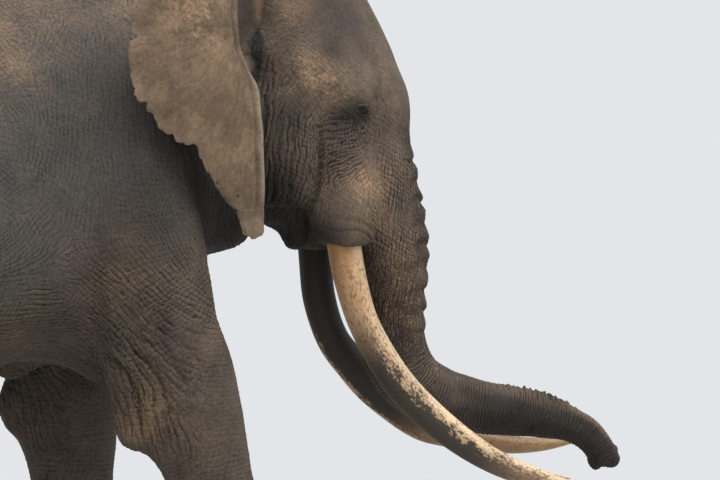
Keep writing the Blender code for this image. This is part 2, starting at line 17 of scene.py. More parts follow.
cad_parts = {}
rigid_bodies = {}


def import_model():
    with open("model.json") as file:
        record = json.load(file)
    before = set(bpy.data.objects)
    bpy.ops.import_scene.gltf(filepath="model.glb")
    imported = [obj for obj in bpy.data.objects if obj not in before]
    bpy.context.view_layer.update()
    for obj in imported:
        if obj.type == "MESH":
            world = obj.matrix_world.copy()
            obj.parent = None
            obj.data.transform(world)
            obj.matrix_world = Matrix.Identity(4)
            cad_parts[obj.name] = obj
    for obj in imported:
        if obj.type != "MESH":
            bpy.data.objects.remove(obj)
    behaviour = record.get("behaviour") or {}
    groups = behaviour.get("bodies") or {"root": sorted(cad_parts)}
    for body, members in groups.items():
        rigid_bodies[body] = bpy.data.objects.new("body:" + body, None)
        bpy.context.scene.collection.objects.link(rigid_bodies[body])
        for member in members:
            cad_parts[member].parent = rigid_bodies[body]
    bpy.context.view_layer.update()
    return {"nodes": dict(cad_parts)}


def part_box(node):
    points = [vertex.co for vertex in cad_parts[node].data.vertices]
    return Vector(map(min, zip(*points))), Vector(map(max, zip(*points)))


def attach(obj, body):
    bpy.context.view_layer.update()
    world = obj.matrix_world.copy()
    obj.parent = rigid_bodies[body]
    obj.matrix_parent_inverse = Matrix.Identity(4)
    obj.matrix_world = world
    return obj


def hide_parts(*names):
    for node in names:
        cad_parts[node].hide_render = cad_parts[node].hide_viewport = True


for old in list(bpy.data.objects):
    bpy.data.objects.remove(old)
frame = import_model()

# ---- driving dimensions -------------------------------------------------------------------------------------------
TUSK_REACH = 2.193  # how far ahead the longer tusk's tip lies in the body's own frame
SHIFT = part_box("tusk_right")[1].x - TUSK_REACH
SIDES = {"left": 1, "right": -1}
FLESH = [name for name in frame["nodes"] if not name.startswith(("eye", "tusk", "tail_tuft"))]

VOXEL = 0.0165  # grid that fuses the nodes; the skin's faces are half as wide
EASING = 80  # passes that round off the solids' facets
SEAM_GROW = 0.0006  # closes the gaps between the nodes
EYE_GROW = 0.0018  # keeps a little hide outside each eyeball, where the lids open
EAR_GROW = 0.009  # holds the thin ears together while they are fused
EAR_NEAR = (0.012, 0.028)  # a point belongs to an ear up to the first distance from it, and no more at the second

# Centre lines in side view: ahead, up.
TRUNK_LINE = [
    (0.90, 3.00), (0.958, 2.76), (0.991, 2.57), (1.039, 2.38), (1.077, 2.20), (1.105, 2.06),
    (1.120, 1.93), (1.131, 1.79), (1.150, 1.70), (1.192, 1.617), (1.265, 1.556), (1.367, 1.516),
    (1.502, 1.487), (1.640, 1.463), (1.777, 1.440), (1.895, 1.413), (1.975, 1.378), (2.030, 1.330),
    (2.062, 1.275), (2.069, 1.225),
]
LEG_LINES = {
    "foreleg_left": [(-0.19, 1.75), (-0.19, 1.42), (-0.17, 1.20), (-0.18, 0.70), (-0.17, 0.00)],
    "foreleg_right": [(0.09, 1.75), (0.19, 1.42), (0.26, 1.20), (0.35, 0.70), (0.42, 0.00)],
    "hindleg_left": [(-2.13, 1.75), (-2.05, 1.36), (-2.10, 1.10), (-2.13, 0.55), (-2.03, 0.00)],
    "hindleg_right": [(-2.20, 1.75), (-2.25, 1.36), (-2.37, 1.10), (-2.51, 0.55), (-2.47, 0.00)],
}
STRIDE = 0.58  # how far the right forefoot stands ahead of the left one
SHOULDER_HEIGHT = 2.50

# How the wrinkles lie in side view: ahead, up, reach, lean above level in degrees, depth of wrinkle, of fold.
LIE = [
    (-0.64, 3.08, 0.16, -45, 1.0, 0.1), (-0.60, 2.78, 0.15, -45, 1.0, 0.1),
    (-0.467, 2.95, 0.10, 60, 0.9, 0.1), (-0.38, 2.74, 0.14, 85, 0.8, 0.0),
    (-0.467, 2.57, 0.14, 72, 0.9, 0.0), (-0.29, 2.53, 0.14, 88, 0.8, 0.0),
    (-0.64, 2.36, 0.14, -30, 1.0, 0.1), (-0.52, 2.20, 0.12, 50, 1.0, 0.1),
    (-0.29, 2.32, 0.14, 75, 0.8, 0.0), (-0.161, 2.36, 0.14, -75, 0.7, 0.0),
    (-0.03, 2.19, 0.15, -58, 0.8, 0.0), (-0.222, 2.00, 0.14, -38, 1.2, 0.2),
    (-0.52, 1.906, 0.15, 0, 1.0, 0.2), (-0.60, 1.758, 0.16, 0, 1.0, 0.3),
    (-0.10, 1.83, 0.12, -42, 1.4, 0.5), (0.053, 1.98, 0.11, -30, 1.2, 0.3),
    (0.144, 1.936, 0.10, -20, 1.2, 0.3), (-0.022, 1.68, 0.11, -50, 1.3, 0.8),
    (-0.175, 1.643, 0.10, -55, 1.1, 0.9), (-0.083, 1.57, 0.09, -70, 1.0, 1.0),
    (-0.06, 1.46, 0.10, -78, 0.7, 0.9), (0.092, 1.61, 0.10, -48, 0.8, 0.5),
    (0.205, 1.648, 0.12, 5, 0.5, 0.1), (-1.05, 1.62, 0.25, 0, 1.0, 0.5), (-1.55, 1.58, 0.25, 5, 1.0, 0.5),
    (-1.00, 2.10, 0.25, 35, 1.0, 0.1), (-1.00, 2.75, 0.30, 78, 0.9, 0.0),
    (-1.45, 2.30, 0.25, -55, 1.0, 0.2), (-1.50, 2.85, 0.25, 75, 0.9, 0.0),
    (-1.90, 2.55, 0.25, -50, 1.0, 0.1), (-1.80, 1.95, 0.22, -60, 1.1, 0.5),
    (-2.30, 2.80, 0.25, -35, 0.9, 0.1), (-2.45, 2.30, 0.25, -70, 1.0, 0.2),
    (-2.25, 1.75, 0.22, -45, 1.1, 0.4), (-2.65, 2.60, 0.25, 80, 0.9, 0.2), (0.20, 3.10, 0.20, 85, 0.8, 0.2),
    (0.25, 2.60, 0.20, 88, 0.9, 0.4), (0.15, 2.15, 0.16, -62, 0.9, 0.4), (0.42, 2.85, 0.12, 88, 0.8, 0.7),
    (0.45, 2.45, 0.12, 86, 0.8, 0.9), (0.56, 2.62, 0.10, 85, 0.8, 1.0), (0.58, 2.35, 0.10, 84, 0.8, 1.0),
    (0.68, 2.52, 0.08, 86, 0.8, 1.0), (0.67, 2.34, 0.06, 60, 0.8, 0.8), (0.80, 2.61, 0.07, 6, 1.3, 0.5),
    (0.80, 2.50, 0.08, 14, 1.5, 0.6), (0.90, 2.56, 0.07, 24, 1.1, 0.35), (0.88, 2.45, 0.06, 38, 0.6, 0.1),
    (0.80, 2.30, 0.10, 80, 0.30, 0.0), (0.72, 2.22, 0.06, 70, 0.5, 0.2), (0.66, 2.80, 0.10, 50, 0.6, 0.3),
    (0.72, 2.92, 0.10, -35, 0.4, 0.1), (0.56, 3.02, 0.09, 35, 0.6, 0.5), (0.60, 3.15, 0.10, -20, 0.4, 0.2),
    (0.75, 3.10, 0.16, -40, 0.20, 0.0), (0.90, 3.00, 0.16, -60, 0.18, 0.0),
    (0.80, 2.85, 0.08, -30, 0.25, 0.0), (0.70, 3.35, 0.15, 10, 0.25, 0.0),
    (1.02, 2.84, 0.10, 80, 0.20, 0.0), (1.03, 2.62, 0.09, 86, 0.7, 0.3), (0.99, 2.62, 0.05, 88, 0.8, 0.3),
    (1.04, 2.45, 0.10, 84, 1.1, 0.3), (1.08, 2.25, 0.10, 82, 1.2, 0.2),
]

# Forms that the solids leave to the skin.
BELLY_ARCH, ELBOW_FOLD, LIP_HANG = 0.050, 0.100, 0.034  # how far the edge rises or falls
BODY_WAVE, FACE_WAVE, EAR_WAVE = 0.0195, 0.0175, 0.034  # from one wrinkle to the next
CROSSING = 1.2  # turn of the finer wrinkles against the others, in radians
RIDGE_LEVEL = 0.6  # height of a wrinkle's side that stays where the skin was, as a share of its back's
RIB_STEP, SPINE_STEP, SHINGLE_STEP, KNOB_STEP = 0.135, 0.12, 0.088, 0.0265  # from one to the next
# Creases get painted shade, CREASE_SHADE for each metre of their depth.
CREASE_SHADE = 28  # how dark a crease is for each metre of depth
# The shoulder blade's ridge and the hollow behind it in side view: the curve, its width, its height.
SHOULDER = [
    ([(-0.35, 3.05), (-0.12, 2.75), (0.02, 2.40)], 0.07, 0.012),
    ([(-0.52, 2.90), (-0.40, 2.50), (-0.42, 2.10)], 0.09, -0.010),
]
# Creases in side view, on the right side: the curve, its width, its depth.
CREASES = [
    ([(0.735, 2.70), (0.742, 2.56), (0.725, 2.40), (0.695, 2.31), (0.70, 2.23)], 0.011, 0.016),
    ([(0.775, 2.685), (0.83, 2.690), (0.880, 2.712)], 0.006, 0.004),
    ([(0.975, 2.80), (0.995, 2.765), (0.998, 2.72), (0.985, 2.68)], 0.005, 0.005),
    ([(0.74, 2.595), (0.80, 2.600), (0.85, 2.578), (0.93, 2.622)], 0.007, 0.005),
    ([(0.745, 2.545), (0.81, 2.530), (0.87, 2.562), (0.95, 2.595)], 0.008, 0.005),
    ([(0.735, 2.480), (0.79, 2.505), (0.83, 2.495), (0.90, 2.545)], 0.008, 0.004),
    ([(0.78, 2.43), (0.86, 2.46), (0.93, 2.52)], 0.007, 0.004),
    ([(0.62, 2.75), (0.615, 2.60), (0.60, 2.42), (0.62, 2.28)], 0.010, 0.006),
    ([(0.56, 2.78), (0.545, 2.60), (0.535, 2.40), (0.55, 2.28)], 0.010, 0.005),
    ([(0.665, 2.70), (0.670, 2.55), (0.650, 2.40)], 0.008, 0.004),
    ([(0.50, 2.85), (0.485, 2.60), (0.47, 2.35)], 0.012, 0.006),
    ([(0.74, 2.235), (0.80, 2.218), (0.88, 2.222), (0.94, 2.195), (0.985, 2.150)], 0.006, 0.006),
    ([(0.79, 2.262), (0.87, 2.258), (0.95, 2.232), (1.00, 2.180)], 0.007, 0.004),
    ([(-0.29, 1.73), (-0.19, 1.69), (-0.12, 1.61), (-0.075, 1.50), (-0.055, 1.40), (-0.045, 1.33)], 0.010, 0.017),
    ([(-0.27, 1.66), (-0.20, 1.60), (-0.155, 1.52), (-0.135, 1.44)], 0.008, 0.007),
    ([(-0.155, 1.475), (-0.115, 1.455), (-0.095, 1.41)], 0.005, 0.006),
    ([(-0.135, 1.405), (-0.09, 1.420), (-0.06, 1.435)], 0.005, 0.006),
    ([(-0.20, 1.76), (-0.08, 1.70), (0.00, 1.60), (0.03, 1.50), (0.04, 1.42)], 0.009, 0.010),
    ([(-0.12, 1.79), (0.00, 1.73), (0.09, 1.62), (0.13, 1.52)], 0.009, 0.008),
    ([(-0.04, 1.83), (0.08, 1.76), (0.17, 1.67), (0.21, 1.58)], 0.008, 0.006),
    ([(0.02, 1.93), (0.12, 1.87), (0.235, 1.81)], 0.007, 0.005),
    ([(0.00, 1.86), (0.10, 1.80), (0.22, 1.79)], 0.006, 0.004),
    ([(-0.62, 1.70), (-0.45, 1.715), (-0.30, 1.68), (-0.20, 1.61)], 0.010, 0.008),
]
# Soft patches in side view, on the right side: ahead, up, reach, amount. First ochre dust, with painted light on the
# foreleg and the lower flank;
DUST_AND_LIGHT = [
    (0.70, 2.86, 0.08, 0.9), (0.635, 2.90, 0.065, 0.7), (0.79, 2.80, 0.07, 0.8), (0.62, 3.15, 0.08, 0.35),
    (0.985, 2.385, 0.09, 0.62), (0.90, 2.42, 0.06, 0.4), (0.99, 2.85, 0.09, 0.2), (-0.15, 1.97, 0.12, 0.15),
    (-0.62, 2.86, 0.16, 0.3), (-0.52, 3.15, 0.25, 0.25), (-0.10, 1.43, 0.11, 0.30),
    (0.04, 1.50, 0.12, 0.30), (-0.50, 1.74, 0.16, 0.20), (1.12, 2.15, 0.13, 0.25), (1.13, 1.93, 0.13, 0.25),
    (2.00, 1.42, 0.10, 0.3), (-0.55, 1.80, 0.15, 0.1), (-1.60, 3.10, 0.50, 0.35), (-2.30, 2.80, 0.30, 0.25),
    (0.13, 3.13, 0.19, 1.0), (0.22, 2.95, 0.10, 0.3), (0.93, 2.25, 0.07, 0.2),
]
# then dark hide, with painted shade under and behind the ears, in the recess ahead of them, at the chest and under the
# jaw.
DARK = [
    (0.36, 2.25, 0.13, 1.3), (0.05, 2.56, 0.09, 0.45), (0.22, 2.34, 0.09, 0.6), (0.90, 2.725, 0.06, 0.45),
    (0.985, 2.82, 0.05, 0.35), (0.67, 2.755, 0.07, 0.4), (0.80, 3.00, 0.06, 0.12), (0.80, 2.68, 0.06, 0.5),
    (0.94, 2.76, 0.04, 0.3), (0.775, 2.965, 0.06, 0.35), (0.60, 2.68, 0.09, 0.45), (0.58, 2.32, 0.12, 0.8),
    (0.50, 2.45, 0.12, 0.5), (0.42, 3.05, 0.075, 0.9), (0.445, 2.90, 0.05, 0.6), (0.44, 3.20, 0.08, 0.8),
    (0.72, 2.16, 0.08, 0.9), (0.66, 2.20, 0.07, 0.8), (-0.05, 2.40, 0.14, 0.35), (-0.12, 2.28, 0.14, 0.25),
    (0.05, 2.25, 0.12, 0.3), (1.12, 1.72, 0.10, 0.3), (2.06, 1.26, 0.08, 0.8), (0.16, 2.42, 0.10, 0.6),
    (0.28, 2.25, 0.10, 0.7), (-0.43, 1.90, 0.12, 0.2), (0.86, 3.07, 0.12, 0.45), (0.78, 3.22, 0.15, 0.40),
    (0.24, 1.50, 0.16, 0.12),
]
# Rods inside the flesh that swell it over each tusk's root and inside the tail's end: centres with a radius.
LIP_CORE = [(0.852, 0.279, 2.195, 0.081), (0.852, 0.279, 2.330, 0.080)]
TAIL_CORE = [(-3.026, 0, 1.56, 0.030), (-3.018, 0, 1.40, 0.026), (-3.008, 0, 1.26, 0.020), (-3.004, 0, 1.20, 0.014)]
ROD_SIDES = 12
CHART_GAP = 0.06  # between the charts of the unwrap
HAIR_SIDES, HAIR_PATCH = 4, 0.003  # faces round each hair, width of its place on the unwrap

EYE_OFFSET = (SHIFT - 0.006, 0, 0.002)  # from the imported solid's middle to the eyeball's in the body's own frame
EYES = {name: np.array(sum(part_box(f"eye_{name}"), Vector()) / 2) - EYE_OFFSET for name in SIDES}
EYE_RADIUS = 0.021
EYE_ZONE = 0.10  # radius of the finest skin
EYE_TILT = math.radians(-32)  # of the opening's long axis
EYE_OPEN = (0.0195, 0.0150)  # half the opening's length and height
LID_BLEND, LID_FOLD = 0.003, 0.0115  # softness where the hide meets the eyeball, from one fold of the lid to the next

# The ears in side view: where each is measured from, the middle its edge runs round, and where its veins meet.
EAR_STARTS = {"left": (0.06, 2.165), "right": (0.0, 2.20)}
EAR_MIDDLES = {"left": (0.26, 2.915), "right": (0.20, 2.95)}
EAR_ROOT = (0.42, 3.05)
# The front edge, ahead of and above the ear's start.
EAR_MARGIN = [(0.350, 1.00), (0.348, 0.86), (0.380, 0.74), (0.412, 0.66), (0.428, 0.59), (0.438, 0.50), (0.444, 0.35),
              (0.447, 0.20), (0.445, 0.07)]
# The dark recess ahead of that edge: how far up, how wide.
EAR_RECESS = [(0.58, 0.020), (0.66, 0.065), (0.80, 0.125), (1.00, 0.120)]
# The rounded tip: how far up, its middle ahead, its half width.
EAR_TIP = [(-0.024, 0.406, 0.014), (-0.016, 0.407, 0.030), (-0.004, 0.407, 0.046), (0.011, 0.4065, 0.054),
           (0.052, 0.401, 0.060), (0.098, 0.391, 0.066)]
TIP_FOOT, TIP_SLICE, TIP_SLICES = -0.06, 0.010, 17  # where its slices begin, how thick they are, how many
# Bites out of the rear edge: turn about the ear's middle and width in degrees, depth.
EAR_NOTCHES = {
    "right": [(172, 2.5, 0.035), (229, 4.0, 0.014), (247, 3.0, 0.012), (262, 2.0, 0.014)],
    "left": [(200, 3.0, 0.025), (236, 3.5, 0.018), (255, 2.5, 0.012)],
}
# Holes: turn about the ear's middle in degrees, share of the way to the edge, radius.
EAR_HOLES = {
    "right": [(274.4, 0.88, 0.005), (271, 0.93, 0.005), (282.8, 0.79, 0.005), (278, 0.92, 0.0045), (281, 0.88, 0.0045)],
    "left": [(250, 0.90, 0.0045), (272, 0.86, 0.004)],
}
EYE_RINGS, EYE_SIDES = 28, 48
TUSK_STEPS, TUSK_SIDES = 12, 64
# Centres and radii of the tusks, from inside the lip to the tip.
TUSKS = {
    "right": [
        (0.845, -0.274, 2.290, 0.071), (0.854, -0.280, 2.169, 0.071), (0.877, -0.295, 2.021, 0.069),
        (0.924, -0.312, 1.852, 0.065), (0.998, -0.328, 1.703, 0.066), (1.080, -0.342, 1.580, 0.067),
        (1.190, -0.352, 1.466, 0.065), (1.320, -0.358, 1.359, 0.061), (1.471, -0.360, 1.263, 0.053),
        (1.628, -0.358, 1.199, 0.046), (1.828, -0.350, 1.144, 0.036), (2.030, -0.336, 1.123, 0.025),
        (2.185, -0.320, 1.133, 0.011),
    ],
    "left": [
        (0.850, 0.274, 2.290, 0.069), (0.862, 0.280, 2.150, 0.070), (0.887, 0.300, 1.950, 0.070),
        (0.950, 0.320, 1.777, 0.069), (1.047, 0.330, 1.656, 0.075), (1.152, 0.337, 1.551, 0.077),
        (1.327, 0.340, 1.417, 0.069), (1.463, 0.338, 1.364, 0.058), (1.604, 0.334, 1.336, 0.047),
        (1.751, 0.326, 1.315, 0.039), (1.892, 0.314, 1.316, 0.028), (2.022, 0.300, 1.331, 0.011),
    ],
}
IVORY = {
    "right": {"root": (0.400, 0.200, 0.078), "body": (0.640, 0.465, 0.290), "stain_and_shade": (0.034, 0.026, 0.021),
              "under_from": 0.43, "dark_root": 0.0, "clean": 0.22},
    "left": {"root": (0.070, 0.044, 0.028), "body": (0.400, 0.250, 0.125), "stain_and_shade": (0.022, 0.018, 0.016),
             "under_from": 0.45, "dark_root": 0.5, "clean": 0.30},
}
# The blackened side below is stain and painted shade.
SOOT_AND_SHADE_SIDE = {"right": (-0.80, 0.05, -0.60), "left": (0.22, -0.92, 0.32)}  # which way the blackened side faces
# Turns of the nails about the foot's middle in degrees.
NAIL_TURNS = {"foreleg": (-54, -18, 18, 54), "hindleg": (-40, 0, 40)}
NAIL_WIDTH, NAIL_HEIGHT, NAIL_THICK = 0.112, 0.088, 0.016
NAIL_ROOT = 0.004  # how deep its edge lies in the skin
NAIL_ROWS, NAIL_COLUMNS = 13, 15
TUFT_END = 0.97  # the lowest that the tail's hair may hang
LASHES = 34
# Bristles on the chin, the trunk, the crown and the back: name, number, the box the hairs' rays start in, which way
# they go, shortest and longest.
BRISTLES = [
    ("chin_bristles", 60, (0.60, -0.08, 1.95), (0.72, 0.08, 1.97), (0, 0, 1.0), (0.006, 0.013)),
    ("trunk_bristles_front", 300, (2.3, -0.12, 1.45), (2.4, 0.12, 2.80), (-1.0, 0, -0.15), (0.006, 0.014)),
    ("trunk_bristles_under", 240, (1.15, -0.10, 1.0), (2.10, 0.10, 1.05), (0, 0, 1.0), (0.006, 0.016)),
    ("crown_bristles", 360, (0.35, -0.25, 3.9), (1.05, 0.25, 4.0), (0, 0, -1.0), (0.008, 0.020)),
    ("back_bristles", 400, (-2.6, -0.30, 3.9), (0.30, 0.30, 4.0), (0, 0, -1.0), (0.008, 0.022)),
]


# ---- numbers ---------------------------------------------------------------------------------------------------------
CHANCE = np.random.default_rng(11)
TABLE = 256  # entries of the noises' tables, a power of two
SHUFFLED = np.tile(CHANCE.permutation(TABLE), 2).astype(np.int32)
SLOPES = CHANCE.normal(size=(TABLE, 3))
SLOPES = (SLOPES / np.linalg.norm(SLOPES, axis=1)[:, None]).astype(np.float32)
SCATTER = CHANCE.random((TABLE, 3)).astype(np.float32)
WORKERS = 4
NOISE_GAIN = 1.7  # brings the smooth noise to about -1 to 1
KERNELS, KERNEL_STEP = 4, 53  # waves that start in a cell of the wrinkles, and the step between them in the table
ACROSS_REACH, ALONG_REACH = 0.24, 0.37  # how far each wave reaches across and along the wrinkles, in cells


def in_parts(work, *arrays):
    """Runs work on slices of the arrays side by side and joins what comes back."""
    cuts = [np.array_split(a, WORKERS * 4) for a in arrays]
    with ThreadPoolExecutor(WORKERS) as pool:
        return np.concatenate(list(pool.map(work, *cuts)))


def ramp(values, start, end):
    """Smooth step from 0 at start to 1 at end."""
    share = np.clip((values - start) / (end - start), 0, 1)
    return share * share * (3 - 2 * share)


def bump(values, centre, width):
    return np.exp(-(((values - centre) / width) ** 2))


def dot(first, second):
    return np.einsum("ij,ij->i", first, second)


def unit(vectors):
    return vectors / np.maximum(np.linalg.norm(vectors, axis=1), 1e-9)[:, None]


def shuffled(cells, seed):
    """A steady entry of the tables for each cell."""
    index = SHUFFLED[(cells[:, 0] + seed) & (TABLE - 1)]
    index = SHUFFLED[(cells[:, 1] & (TABLE - 1)) + index]
    return SHUFFLED[(cells[:, 2] & (TABLE - 1)) + index]


def noise(points, size, seed):
    """Smooth noise about -1 to 1, with lumps of the given size."""

    def work(part):
        part = (part / size).astype(np.float32)
        cells = np.floor(part).astype(np.int32)
        inside = part - cells
        fade = inside**3 * (inside * (inside * 6 - 15) + 10)
        total = np.zeros(len(part), np.float32)
        for corner in product((0, 1), repeat=3):
            corner = np.array(corner, np.int32)
            lean = SLOPES[shuffled(cells + corner, seed)]
            share = np.where(corner, fade, 1 - fade).prod(axis=1)
            total += share * dot(lean, inside - corner)
        return total * NOISE_GAIN

    return in_parts(work, points)


def phasor(points, across, wave, cell, seed):
    """Cosine and sine of the phase of wrinkles that run square to across, a wave apart, and join and fork."""

    def work(part, turned, waves):
        part = (part / cell).astype(np.float32)
        cells = np.floor(part).astype(np.int32)
        cosine = np.zeros(len(part), np.float32)
        sine = np.zeros(len(part), np.float32)
        rate = (math.tau * cell / waves).astype(np.float32)
        for step in product((-1, 0, 1), repeat=3):
            home = cells + np.array(step, np.int32)
            key = shuffled(home, seed)
            away = part - home
            for i in range(KERNELS):
                offset = away - SCATTER[(key + KERNEL_STEP * i) & (TABLE - 1)]
                side = dot(offset, turned)
                square = side * side
                rest = dot(offset, offset) - square
                near = np.exp(-0.5 * (square / ACROSS_REACH**2 + rest / ALONG_REACH**2))
                turn = side * rate
                cosine += near * np.cos(turn)
                sine += near * np.sin(turn)
        size = np.sqrt(cosine**2 + sine**2) + 1e-6
        return np.stack([cosine / size, sine / size], axis=1)

    return in_parts(work, points, across.astype(np.float32), wave)


def ridge(phase):
    """1 on a wrinkle's back and 0 in the crease beside it."""
    return np.sqrt(np.clip((1 + phase[:, 0]) / 2, 0, 1))


def curved(stations, steps):
    """Catmull-Rom points through the stations, with steps to each span."""
    given = np.array(stations, float)
    padded = np.vstack([2 * given[0] - given[1], given, 2 * given[-1] - given[-2]])
    made = []
    for i in range(1, len(padded) - 2):
        before, start, end, after = padded[i - 1 : i + 3]
        for t in np.arange(steps) / steps:
            made.append(
                start
                + (end - before) * t / 2
                + (2 * before - 5 * start + 4 * end - after) * t**2 / 2
                + (3 * start - before - 3 * end + after) * t**3 / 2
            )
    return np.array([*made, given[-1]])


def follow(places, line):
    """Length along a line at the nearest point to each place, the distance to it, and its direction there."""
    line = np.array(line, float)
    steps = np.diff(line, axis=0)
    lengths = np.linalg.norm(steps, axis=1)
    starts = np.concatenate([[0], np.cumsum(lengths)])
    best = np.full(len(places), np.inf)
    along = np.zeros(len(places))
    ahead = np.zeros((len(places), line.shape[1]))
    for start, step, length, begun in zip(line, steps, lengths, starts):
        share = np.clip((places - start) @ step / length**2, 0, 1)
        gap = np.linalg.norm(places - start - share[:, None] * step, axis=1)
        closer = gap < best
        best = np.where(closer, gap, best)
        along = np.where(closer, begun + share * length, along)
        ahead[closer] = step / length
    return along, best, ahead


# ---- meshes ----------------------------------------------------------------------------------------------------------
MOST = 8  # neighbours of a point that are kept
SHRINK, REGROW = 0.6, -0.62  # the two steps of the smoothing


def arrays_of(mesh):
    """Points and faces of a mesh whose faces all have four corners."""
    points = np.empty(len(mesh.vertices) * 3, np.float32)
    mesh.vertices.foreach_get("co", points)
    corners = np.empty(len(mesh.loops), np.int32)
    mesh.loops.foreach_get("vertex_index", corners)
    return points.reshape(-1, 3).astype(float), corners.reshape(-1, 4)


def mesh_of(name, points, corners, starts=None, smooth=True):
    """A mesh from points and the corners of its faces, four each unless starts says where each face begins."""
    corners = np.asarray(corners)
    if starts is None:
        starts = np.arange(len(corners)) * corners.shape[1]
    mesh = bpy.data.meshes.new(name)
    mesh.vertices.add(len(points))
    mesh.vertices.foreach_set("co", np.asarray(points, np.float32).ravel())
    mesh.loops.add(corners.size)
    mesh.loops.foreach_set("vertex_index", corners.astype(np.int32).ravel())
    mesh.polygons.add(len(starts))
    mesh.polygons.foreach_set("loop_start", np.asarray(starts, np.int32))
    mesh.update(calc_edges=True)
    mesh.validate()
    if smooth:
        mesh.shade_smooth()
    return mesh


def object_of(name, mesh, *materials):
    made = bpy.data.objects.new(name, mesh)
    bpy.context.scene.collection.objects.link(made)
    for finish in materials:
        made.data.materials.append(finish)
    return made


def applied(made, kind, **settings):
    """Adds a modifier and applies it."""
    modifier = made.modifiers.new(kind, kind)
    for key, value in settings.items():
        setattr(modifier, key, value)
    graph = bpy.context.evaluated_depsgraph_get()
    made.data = bpy.data.meshes.new_from_object(made.evaluated_get(graph))
    made.modifiers.clear()


def welded(name):
    """Points and triangles of a CAD node, its corners joined, in the body's own frame."""
    mesh = frame["nodes"][name].data
    mesh.calc_loop_triangles()
    points = np.array([v.co for v in mesh.vertices]) - (SHIFT, 0, 0)
    faces = np.array([t.vertices for t in mesh.loop_triangles])
    _, first, index = np.unique(np.round(points, 5), axis=0, return_index=True, return_inverse=True)
    faces = index.reshape(-1)[faces]
    whole = (faces[:, 0] != faces[:, 1]) & (faces[:, 1] != faces[:, 2]) & (faces[:, 0] != faces[:, 2])
    return points[first], faces[whole]


def normals_of(points, faces):
    """Normals at the points of triangles or quads."""
    a, b, c, d = (points[faces[:, k]] for k in ((0, 2, 1, 3) if faces.shape[1] == 4 else (0, 1, 0, 2)))
    spread = np.cross(b - a, d - c)
    total = np.zeros_like(points)
    for axis in range(3):
        values = np.repeat(spread[:, axis], faces.shape[1])
        total[:, axis] = np.bincount(faces.ravel(), weights=values, minlength=len(points))
    return unit(total)


def neighbours(faces, count):
    """The neighbours of each point, as far as MOST, filled up with itself, and how many it has."""
    pairs = np.concatenate([faces[:, [i, (i + 1) % 4]] for i in range(4)])
    pairs = np.concatenate([pairs, pairs[:, ::-1]])
    keys = np.unique(pairs[:, 0].astype(np.int64) * count + pairs[:, 1])
    start, end = keys // count, keys % count
    number = np.bincount(start, minlength=count)
    first = np.concatenate([[0], np.cumsum(number)[:-1]])
    place = np.arange(len(start)) - first[start]
    table = np.repeat(np.arange(count)[:, None], MOST, axis=1)
    kept = place < MOST
    table[start[kept], place[kept]] = end[kept]
    return table, np.minimum(number, MOST)[:, None]


def relaxed(points, table, number, passes, freedom):
    """Taubin smoothing, which keeps the volume; freedom is how far each point may follow."""
    freedom = np.reshape(freedom, (-1, 1))
    for _ in range(passes):
        for factor in (SHRINK, REGROW):
            total = points[table].sum(axis=1) - (MOST - number) * points
            points = points + factor * freedom * (total / number - points)
    return points


def split(points, faces, chosen):
    """Divides the chosen quads in four; a face beside them takes their new corners along its edge."""
    count = len(points)
    ends = faces[:, [1, 2, 3, 0]]
    keys = np.minimum(faces, ends).astype(np.int64) * count + np.maximum(faces, ends)
    marked = np.unique(keys[chosen])
    middles = (points[marked // count] + points[marked % count]) / 2
    spot = np.searchsorted(marked, keys)
    found = marked[np.minimum(spot, len(marked) - 1)] == keys
    mids = np.where(found, count + spot, -1)
    centres = points[faces[chosen]].mean(axis=1)
    middle = count + len(middles) + np.arange(len(centres))
    fine, edge = faces[chosen], mids[chosen]
    quarters = [np.stack([fine[:, i], edge[:, i], middle, edge[:, (i + 3) % 4]], axis=1) for i in range(4)]
    touched = found.any(axis=1)
    touched[chosen] = False
    border = []
    for face, cut in zip(faces[touched].tolist(), mids[touched].tolist()):
        border.append([c for pair in zip(face, cut) for c in pair if c >= 0])
    plain = np.ones(len(faces), bool)
    plain[chosen] = False
    plain &= ~touched
    return np.vstack([points, middles, centres]), np.vstack([faces[plain], *quarters]), border


# ---- the skin's shape ------------------------------------------------------------------------------------------------
def fused():
    """One body from all the flesh, its facets eased, in quads, and how much each point belongs to an ear."""
    solids = [(*welded(name), EAR_GROW if name.startswith("ear") else SEAM_GROW) for name in FLESH]
    solids += [(*welded(f"eye_{name}"), EYE_GROW) for name in SIDES]
    for side in SIDES.values():
        solids.append((*rod([(x, side * y, z, radius) for x, y, z, radius in LIP_CORE]), 0))
    solids.append((*rod(TAIL_CORE), 0))
    points, faces, count = [], [], 0
    for spots, corners, grow in solids:
        points.append(spots + normals_of(spots, corners) * grow)
        faces.append(corners + count)
        count += len(spots)
    whole = object_of("fusing", mesh_of("fusing", np.vstack(points), np.vstack(faces)))
    applied(whole, "REMESH", mode="VOXEL", voxel_size=VOXEL, adaptivity=0.0)
    points, faces = arrays_of(whole.data)
    table, number = neighbours(faces, len(points))
    share = ear_share(points)
    # The soles stay flat and the ears keep most of their form.
    free = np.where(points[:, 2] < 0.02, 0.1, 1.0) * (1 - 0.75 * share)
    points = relaxed(points, table, number, EASING, free)
    points -= normals_of(points, faces) * (EAR_GROW * share)[:, None]
    points = relaxed(points, table, number, 6, share)
    whole.data.vertices.foreach_set("co", points.astype(np.float32).ravel())
    applied(whole, "SUBSURF", levels=1)
    points, faces = arrays_of(whole.data)
    bpy.data.objects.remove(whole)
    return points, faces, ear_share(points)


